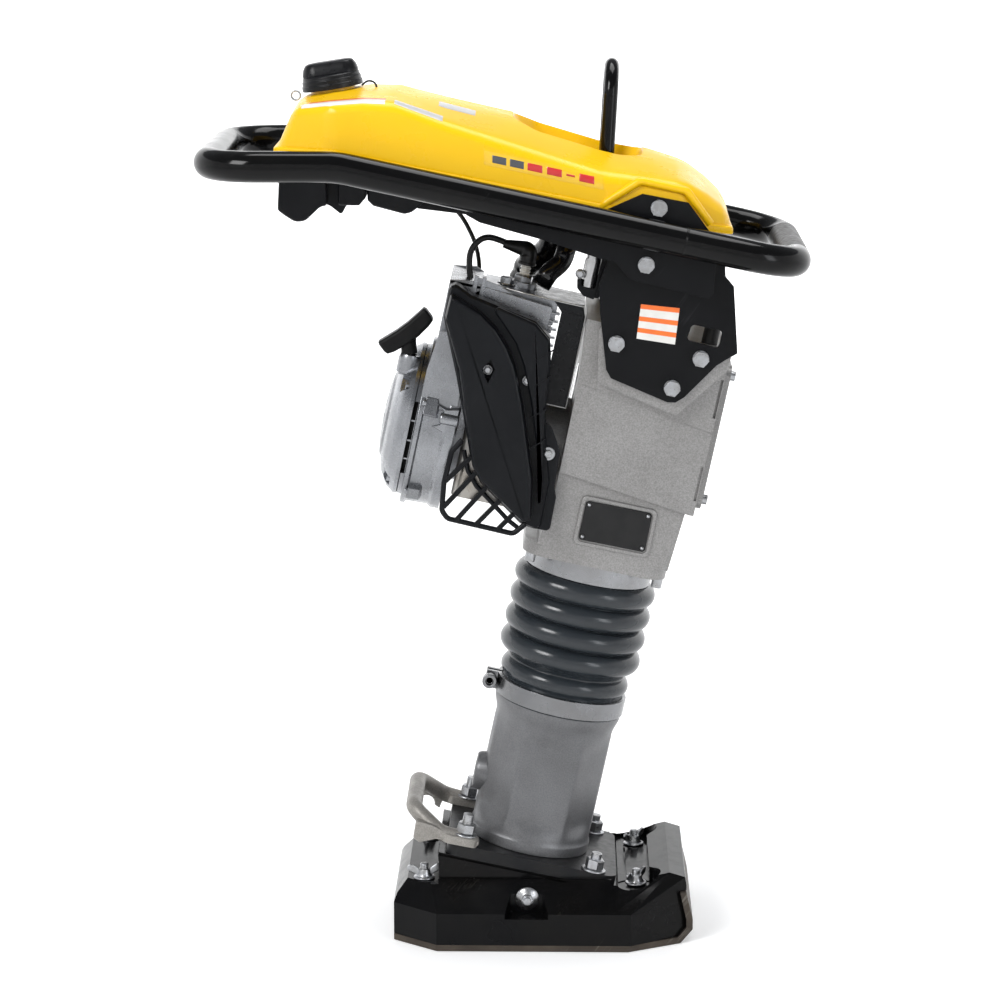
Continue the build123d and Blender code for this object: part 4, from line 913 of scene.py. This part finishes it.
def carburettor():
    """The carburettor on the left: body, float bowl with its nut, throttle shaft with a lever, ports."""
    body = slab(rounded([(-166, 64), (-122, 64), (-122, 95), (-166, 95)], 7, 4),
                [(636, -2), (639, 0), (681, 0), (684, -3)], "Z")
    bowl = lathe([(0, 606), (12, 606.5), (16, 610), (17.5, 630), (20.5, 632), (20.5, 637), (0, 637)],
                 at=BOWL)
    nut = moved(slab(polygon(6, 11), [(602, -1), (603, 0), (607, 0)], "Z"), BOWL)
    horn = lathe([(0, 680), (19, 682), (19, 686), (16.8, 687), (16.8, 692), (0, 692)], at=(CARB_X, 79, 0))
    port = lathe([(0, 45), (14, 45), (14, 63), (0, 63)], "Y", (CARB_X, 0, 660))
    plate = slab(rounded([(-170, 642), (-112, 642), (-112, 678), (-170, 678)], 8, 4), [(57, 0), (62, 0)])
    shaft = lathe([(0, -176), (3.4, -176), (3.4, -112), (0, -112)], "X", (0, 84, 668), 20)
    arm = slab(rounded([(-4, -5), (18, -4), (22, 3), (14, 7), (-5, 6)], 3, 3), [(-177, 0), (-175, 0)], "X")
    arm = moved(arm, (0, 84, 668))
    idle = lathe([(0, 96), (4.5, 96), (4.5, 101), (3.5, 102), (0, 102)], "Y", (-152, 0, 652), 20)
    lid_screws = [socket_screw((x, y, 684), "Z", 1, 3.2, 2.4, 1.2) for x, y in ((-161, 69), (-127, 90))]
    return gather(body, bowl, nut, horn, port, plate, shaft, arm, idle, *lid_screws)


piece("carburettor_body", carburettor(), "engine_casting", ("carburettor",), soft=0.7)


def throttle():
    """The throttle lever: a hub on its stud, a flat arm and a round knob that clears the tank."""
    hub = lathe([(5.1, 126), (11, 126.6), (11, 134), (10, 135), (5.1, 135)], "Y", (0, 0, 0), 40, True)
    arm = rounded([(-8, 7), (8, 7), (6.5, 66), (-6.5, 66)], 2, 3)
    arm = slab(arm, [(130.4, -0.6), (131, 0), (134, 0), (134.6, -0.6)])
    knob = lathe([(0, 129), (9, 129), (11, 130.5), (11, 137), (9, 139.5), (0, 140)], "Y", (0, 0, 71), 40)
    return moved(gather(hub, arm, knob), (-245, 0, 856))


piece("throttle_arm", throttle(), "lever_plastic", ("throttle_lever",), ROW, 0.5, body="throttle")

# ---- bellows between the shoe and the machine; the piece is baked in place, fixed to neither body ---
BEAD_STEP = 26.5
profile = [(66.3, 263), (66.3, 418), (70.2, 418)]
for bead in range(4):
    for degree in range(72 if bead == 0 else 80, -84, -12):
        turn = radians(degree)
        profile.append((68.3 + 13.3 * cos(turn), 405 - bead * BEAD_STEP + 13.3 * sin(turn)))
for degree in range(74, -50, -12):
    profile.append((62.5 + 11.8 * cos(radians(degree)), 294.5 + 11.8 * sin(radians(degree))))
profile += [(70.2, 283), (70.2, 263)]
piece("bellows_sleeve", lathe(profile, steps=112, ring=True), "bellows_rubber", ("bellows",), soft=0,
      between=("foot", "machine", row_point(0, 0, 286), row_point(0, 0, 416)))

# ---- name plate, labels and the tube's seam --------------------------------------------------
frame_outline = [(-27, 519), (57, 519), (58, 465), (-27, 464)]
border = slab(rounded(grow(frame_outline, 1), 7, 4), [(-79, 0), (-82.2, 0), (-83, -0.8)])
window = slab(rounded(grow(frame_outline, -3.2), 5, 4), [(-90, 0), (-70, 0)])
piece("plate_frame", cut(border, window), "crankcase_paint", soft=0.7)
RIVET = [(0, -3.4), (1.2, -3.2), (2.1, -2.4), (2.3, -1.5), (0, -1.5)]
rivets = [moved(lathe(RIVET, "Y", steps=20), (x, -80, z))
          for x, z in ((-18.5, 510), (48.5, 511), (49.5, 474), (-18.5, 473))]
piece("plate_rivets", gather(*rivets), "zinc", soft=0)

SIDE_LABEL = [(-12.5, 746.1), (29.8, 750.7), (33.4, 710.4), (-9.1, 708)]
piece("side_label", slab(SIDE_LABEL, [(-110, 0), (-110.5, 0)]), "bracket_paint", soft=0, look=white)


def label_band(low, high):
    """A level strip of the side label, between two shares of its height."""
    a, b, c, d = (Vector(point) for point in SIDE_LABEL)
    return [tuple(a.lerp(d, low)), tuple(b.lerp(c, low)), tuple(b.lerp(c, high)), tuple(a.lerp(d, high))]


bands = [slab(label_band(start, start + 0.13), [(-110.4, 0), (-110.8, 0)]) for start in (0.0, 0.35, 0.68)]
piece("side_label_bands", gather(*bands), "bracket_paint", soft=0, look=orange)

RAIL_REACH = 171.9
seams = []
for side in (-1, 1):
    spot = TO_LEG @ Vector((158, side * 155, 806.3))
    ring = lathe([(16, -1.6), (17.5, -1.2), (17.5, -0.5), (16.6, 0), (17.5, 0.5), (17.5, 1.2), (16, 1.6)],
                 "X", spot, 48, True)
    for vert in ring.verts:
        vert.co.y = max(-RAIL_REACH, min(RAIL_REACH, vert.co.y))
    seams.append(ring)
piece("rail_seams", gather(*seams), "tube_paint", soft=0)


# ---- shoe and leg ---------------------------------------------------------------------------
def hull(points):
    """The tightest convex shape round some points."""
    shape = bmesh.new()
    for point in points:
        shape.verts.new(point)
    bmesh.ops.convex_hull(shape, input=shape.verts)
    bmesh.ops.delete(shape, geom=[vert for vert in shape.verts if not vert.link_faces], context="VERTS")
    return shape


def two_sided(points):
    return [(x, side * y, z) for x, y, z in points for side in (-1, 1)]


def leg_block(x0, x1, y0, y1, z0, z1):
    """A block square to the leg, in the row frame."""
    shape = block(x0, x1, y0, y1, z0, z1)
    bmesh.ops.transform(shape, matrix=TO_LEG.inverted(), verts=shape.verts)
    return shape


def shoe_loop(rear, front, half, cut_rear, cut_front, cut_y, z):
    """A plan of the shoe at a height, with its corners cut."""
    near = [(rear, half - cut_y[0]), (cut_rear, half), (cut_front, half), (front, half - cut_y[1])]
    return [(x, -y, z) for x, y in near] + [(x, y, z) for x, y in near[::-1]]


SOLE_TOP, DECK_EDGE, HEEL_FLAT, TOE_FLAT, SEAT, SCOOP = 7.5, 44, 66, 60.5, 21, 25
WING_BOLTS = ((-129, HEEL_FLAT), (112.7, TOE_FLAT))
BOLT_Y = 75
SIDE_BOLT = (-11, 0, 54)
TOE_CUT = 42 / 64


def shoe():
    low = [shoe_loop(-163, front, 140, -113, 106, (42, TOE_CUT * (front - 106)), z) for z, front in
           ((SOLE_TOP, 160), (17, 169.5), (26, 169.5), (DECK_EDGE, 165.5))]
    deck = [low[-1], shoe_loop(-152, 162, 92, -122, 122, (26, 26), 70)]
    toe = hull(two_sided([(84, 139.8, 40), (84, 139.8, DECK_EDGE), (106, 139.8, DECK_EDGE), (106, 139.8, 40),
                          (84, 96, 65), (147, 113, 40), (147, 113, 56), (126, 84, 69.5), (150, 98, 81),
                          (168, 98, 75.5), (169.5, 98, 66), (169.5, 98, 40)]))
    plate_room = slab([(169.5, 16), (169.5, 26), (162, 60.3), (185, 60.3), (185, 16)], [(-150, 0), (150, 0)])
    body = cut(fuse(skin(low), skin(deck), toe), plate_room)
    body = fuse(body, leg_block(-100, 106, -88, 88, 34, 80))
    heel_room = slab([(-112, HEEL_FLAT), (-148, HEEL_FLAT), (-170, 39.6), (-170, 90), (-112, 90)],
                     [(-150, 0), (150, 0)])
    rooms = [heel_room, block(84, 128, -100, 100, TOE_FLAT, 95), leg_block(-96, 108, -90, 90, 80, 150),
             block(100.2, 102.4, -84, 60, TOE_FLAT - 3, TOE_FLAT + 1)]
    for side in (-1, 1):
        rooms.append(leg_block(-110, 116, *sorted((side * 84, side * 96)), 77.4, 80.1))
        rooms.append(hull([(x, side * y, z) for x, y in ((-38.5, 150), (15, 150), (6, 112), (-30, 112))
                           for z in (38, 80)]))
        rooms += [lathe([(SEAT, seat), (SEAT, 95)], at=(x, side * BOLT_Y, 0), steps=40)
                  for x, seat in WING_BOLTS]
        scoop_at = (WING_BOLTS[1][0], side * 86, 0)
        rooms.append(lathe([(SCOOP, TOE_FLAT - 1), (SCOOP + 5, 95)], at=scoop_at, steps=48))
    return cut(body, *rooms)


piece("shoe_hull", shoe(), "shoe_plastic", ("shoe_body",), ROW, 2.0, segments=3, limit=20, body="foot")

LEG_FLATS = ((-90, 59.6), (-140, 62.8), (-36, 62.8), (90, 59.6), (140, 62.8), (36, 62.8))


def ease(value, low, high):
    share = max(0.0, min(1.0, (value - low) / (high - low)))
    return share * share * (3 - 2 * share)


def leg():
    """The cast leg: round at its foot and at its top, with six soft flats round its middle."""
    outer = [(70, 94.1), (70.4, 95), (70.4, 104.5), (69.8, 106.5), (68.6, 108.5)]
    outer += [(68.3, z) for z in range(112, 236, 4)]
    outer += [(68, 237), (68.8, 243), (70.6, 248.5), (72.4, 254), (73, 257.5), (73, 262), (66, 262),
        (66, 284)]
    shape = lathe(outer + [(56, 284), (56, 94.1)], steps=144, ring=True)
    for vert in shape.verts:
        radius, turn = hypot(vert.co.x, vert.co.y), atan2(vert.co.y, vert.co.x)
        share = ease(vert.co.z, 110, 132) * (1 - ease(vert.co.z, 214, 247))
        if radius < 60 or not share:
            continue
        flat = min(d / max(0.3, cos(turn - radians(facing))) for facing, d in LEG_FLATS)
        deep = max(0.0, radius - flat)
        vert.co.xy *= 1 - share * deep * deep / (deep + 0.35) / radius
    boss = [(0, -58), (25, -58), (22, -73), (20, -77), (13.2, -77), (13, -71), (0, -71)]
    return gather(shape, lathe(boss, "X", (0, 0, 161), 48))


piece("leg_tube", leg(), "leg_casting", ("leg_casting",), soft=0.8, body="foot")
hem = lathe([(71, 260.6), (73.6, 260.6), (74.2, 261.4), (73.6, 262.6), (71, 262.6)], steps=96, ring=True)
piece("bellows_hem", hem, "bellows_rubber", soft=0, body="foot")
piece("clamp_screw", socket_screw((-83, -13, 272), "Y", -1, 8.4, 9, 5), "clamp_steel", soft=0.5, body="foot")


# ---- shoe fasteners and carrying handle ------------------------------------------------------
def wing_nut(yaw):
    base = lathe([(0, 0), (12, 0), (12.4, 1.2), (11.8, 2.2), (9, 2.6), (7.2, 6), (6.4, 10.5), (5.2, 11.5),
        (0, 11.5)], steps=32)
    thread = [(4.4 + 0.5 * (i % 2), 8 + i * 0.75) for i in range(12)]
    stud = lathe([(0, 8), *thread, (3.6, 17.6), (0, 17.6)], steps=24)
    wings = []
    for side in (0, 180):
        outline = rounded([(3, 2.5), (8, 3), (19, 9), (20.5, 14.5), (15, 17), (9, 13), (4.5, 9)], 4, 4)
        wings.append(moved(slab(outline, [(-1.4, -1), (-0.6, 0), (0.6, 0), (1.4, -1)]), turn=side))
    return moved(gather(base, stud, *wings), turn=yaw)


wing_spots = [(x, side * BOLT_Y, seat) for x, seat in WING_BOLTS for side in (-1, 1)]
wing_set = [moved(wing_nut(yaw), spot) for spot, yaw in zip(wing_spots, (8, 76, 56, 52))]
piece("wing_nuts", gather(*wing_set), "zinc", ("wing_bolts",), ROW, 0.5, body="foot")

side_set = []
for side in (-1, 1):
    dish = [(0, 112), (12.8, 112), (13.4, 113.4), (12, 115.2), (9, 116.6), (7, 118), (0, 118)]
    side_set.append(lathe([(r, side * y) for r, y in dish], "Y", SIDE_BOLT, 40))
    side_set.append(moved(slab(polygon(6, 12), [(side * 116, 0), (side * 121, 0), (side * 122, -1)]),
                          SIDE_BOLT))
    thread = [(0, 121)] + [(4 + 0.5 * (i % 2), 121 + i * 0.6) for i in range(8)] + [(0, 126)]
    side_set.append(lathe([(r, side * y) for r, y in thread], "Y", SIDE_BOLT, 24))
piece("side_fasteners", gather(*side_set), "zinc", ("side_bolts",), ROW, 0.4, body="foot")


def nut_and_stud(x, y, seat, top):
    flange = lathe([(6, seat), (14, seat), (14.3, seat + 1), (13.8, seat + 2.2), (6, seat + 2.5)],
                   at=(x, y, 0), steps=40)
    levels = [(seat + 2.4, -0.8), (seat + 3.4, 0), (seat + 13, 0), (seat + 14, -1.3)]
    nut = moved(slab(polygon(6, 19, 0.35 + 0.4 * (x > 0)), levels, "Z"), (x, y, 0))
    thread = [(0, seat + 12)]
    thread += [(5.3 + 0.6 * (i % 2), seat + 12 + i * 0.8) for i in range(int((top - seat - 13) / 0.8))]
    thread += [(4.6, top), (0, top)]
    return gather(flange, nut, lathe(thread, at=(x, y, 0), steps=24))


nuts = [nut_and_stud(x, side * BOLT_Y, seat, top) for x, seat, top in ((-75, 104, 128), (77, 94, 115))
        for side in (-1, 1)]
piece("mount_nuts", gather(*nuts), "zinc", ("shoe_nuts",), soft=0.45, body="foot")


def handle():
    corners = [(-78, -77, 99), (-104, -77, 101), (-138, -60, 118.5), (-138, 60, 118.5), (-104, 77, 101),
               (-78, 77, 99)]
    shapes = [tube(rounded(corners, [0, 24, 20, 20, 24, 0], 8, False), 9.3, 28)]
    notch = [(-122 + 9.5 * cos(radians(turn)), 87 + 9.5 * sin(radians(turn)))
             for turn in range(165, -1, -15)]
    near_web = rounded([(-133, 112), (-132, 90), (-124, 86), (-106, 94.2), (-64, 94.2), (-56, 97),
                        (-60, 105), (-96, 105), (-112, 110)], [4, 3, 4, 3, 2, 3, 3, 10, 10], 4)
    far_web = [(-133, 112), (-133, 88), *notch, (-106, 84), (-104, 94.2), (-64, 94.2), (-60, 104),
               (-96, 104), (-112, 110)]
    for side, web in ((-1, near_web), (1, far_web)):
        shapes.append(slab(web, [(side * 70, -1), (side * 72, 0), (side * 83, 0), (side * 85, -1)]))
        pad = rounded([(-98, 64), (-64, 66), (-58, 74), (-60, 88), (-92, 90), (-100, 84)], 6, 4)
        if side < 0:
            pad = [(x, -y) for x, y in pad]
        shapes.append(slab(pad, [(94, 0), (103, 0), (104, -1)], "Z"))
    return gather(*shapes)


piece("carry_bar", handle(), "handle_casting", ("carry_handle",), soft=1.2, segments=3, limit=30,
      body="foot")


# ---- studio ---------------------------------------------------------------------------------
def studio():
    """A pale floor that curves up into a wall all round; the wall behind the machine is lit up."""
    flat, curve, height, steps = 4.4, 1.0, 3.2, 96
    rows = [(0.001, 0.0), (1.5, 0.0), (flat, 0.0)]
    for step in range(1, 9):
        turn = step / 8 * pi / 2
        rows.append((flat + curve * sin(turn), curve - curve * cos(turn)))
    rows.append((flat + curve, height))
    loops = [[(radius * cos(2 * pi * k / steps), radius * sin(2 * pi * k / steps), rise - 0.0005)
              for k in range(steps)] for radius, rise in rows]
    shape = skin(loops, ends=False)
    bmesh.ops.reverse_faces(shape, faces=shape.faces)
    floor = as_object(shape, "floor")
    for face in floor.data.polygons:
        face.use_smooth = True
    paper = bpy.data.materials.new("paper")
    paper.use_nodes = True
    tree = paper.node_tree
    shader = tree.nodes["Principled BSDF"]
    shader.inputs["Base Color"].default_value = (0.82, 0.82, 0.82, 1)
    shader.inputs["Roughness"].default_value = 0.9
    shader.inputs["Emission Color"].default_value = (1, 1, 1, 1)
    place = add(tree, "ShaderNodeSeparateXYZ", {"Vector": add(tree, "ShaderNodeTexCoord").outputs["Object"]})
    tree.links.new(band(tree, place.outputs["Y"], -1.0, 4.0, 0.24, 0.80), shader.inputs["Emission Strength"])
    floor.data.materials.append(paper)


def light(name, place, target, size, power, color=(1, 1, 1)):
    lamp = bpy.data.lights.new(name, "AREA")
    lamp.shape = "RECTANGLE"
    lamp.size, lamp.size_y = size
    lamp.energy = power
    lamp.color = color
    obj = bpy.data.objects.new(name, lamp)
    obj.location = place
    obj.rotation_euler = (Vector(target) - Vector(place)).to_track_quat("-Z", "Y").to_euler()
    bpy.context.scene.collection.objects.link(obj)


CAMERA_PLACE, CAMERA_PITCH, CAMERA_YAW = (0.0265, -3.7417, 1.2579), 11.58, 1.08
CAMERA_LENS, CAMERA_SENSOR = 120.77, 36.0


def camera():
    """The photo's own view: down and a little to the left."""
    lens = bpy.data.cameras.new("camera")
    lens.sensor_width = CAMERA_SENSOR
    lens.lens = CAMERA_LENS
    obj = bpy.data.objects.new("camera", lens)
    obj.location = CAMERA_PLACE
    pitch, yaw = radians(CAMERA_PITCH), radians(CAMERA_YAW)
    ahead = Vector((-sin(yaw) * cos(pitch), cos(yaw) * cos(pitch), -sin(pitch)))
    obj.rotation_euler = ahead.to_track_quat("-Z", "Y").to_euler()
    bpy.context.scene.collection.objects.link(obj)
    bpy.context.scene.camera = obj


def world():
    made = bpy.data.worlds.new("world")
    made.use_nodes = True
    made.node_tree.nodes["Background"].inputs["Color"].default_value = (0.92, 0.95, 1.0, 1)
    made.node_tree.nodes["Background"].inputs["Strength"].default_value = 0.30
    bpy.context.scene.world = made


studio()
camera()
world()
light("key", (-1.9, -2.2, 2.6), (0, 0, 0.5), (1.3, 1.3), 74)
light("fill", (2.4, -2.4, 1.2), (0, 0, 0.5), (0.9, 1.8), 20, (0.93, 0.96, 1.0))
light("top", (0.2, 0.3, 2.9), (0, 0, 0.6), (1.6, 1.2), 36)
bpy.context.scene.view_settings.view_transform = "Standard"
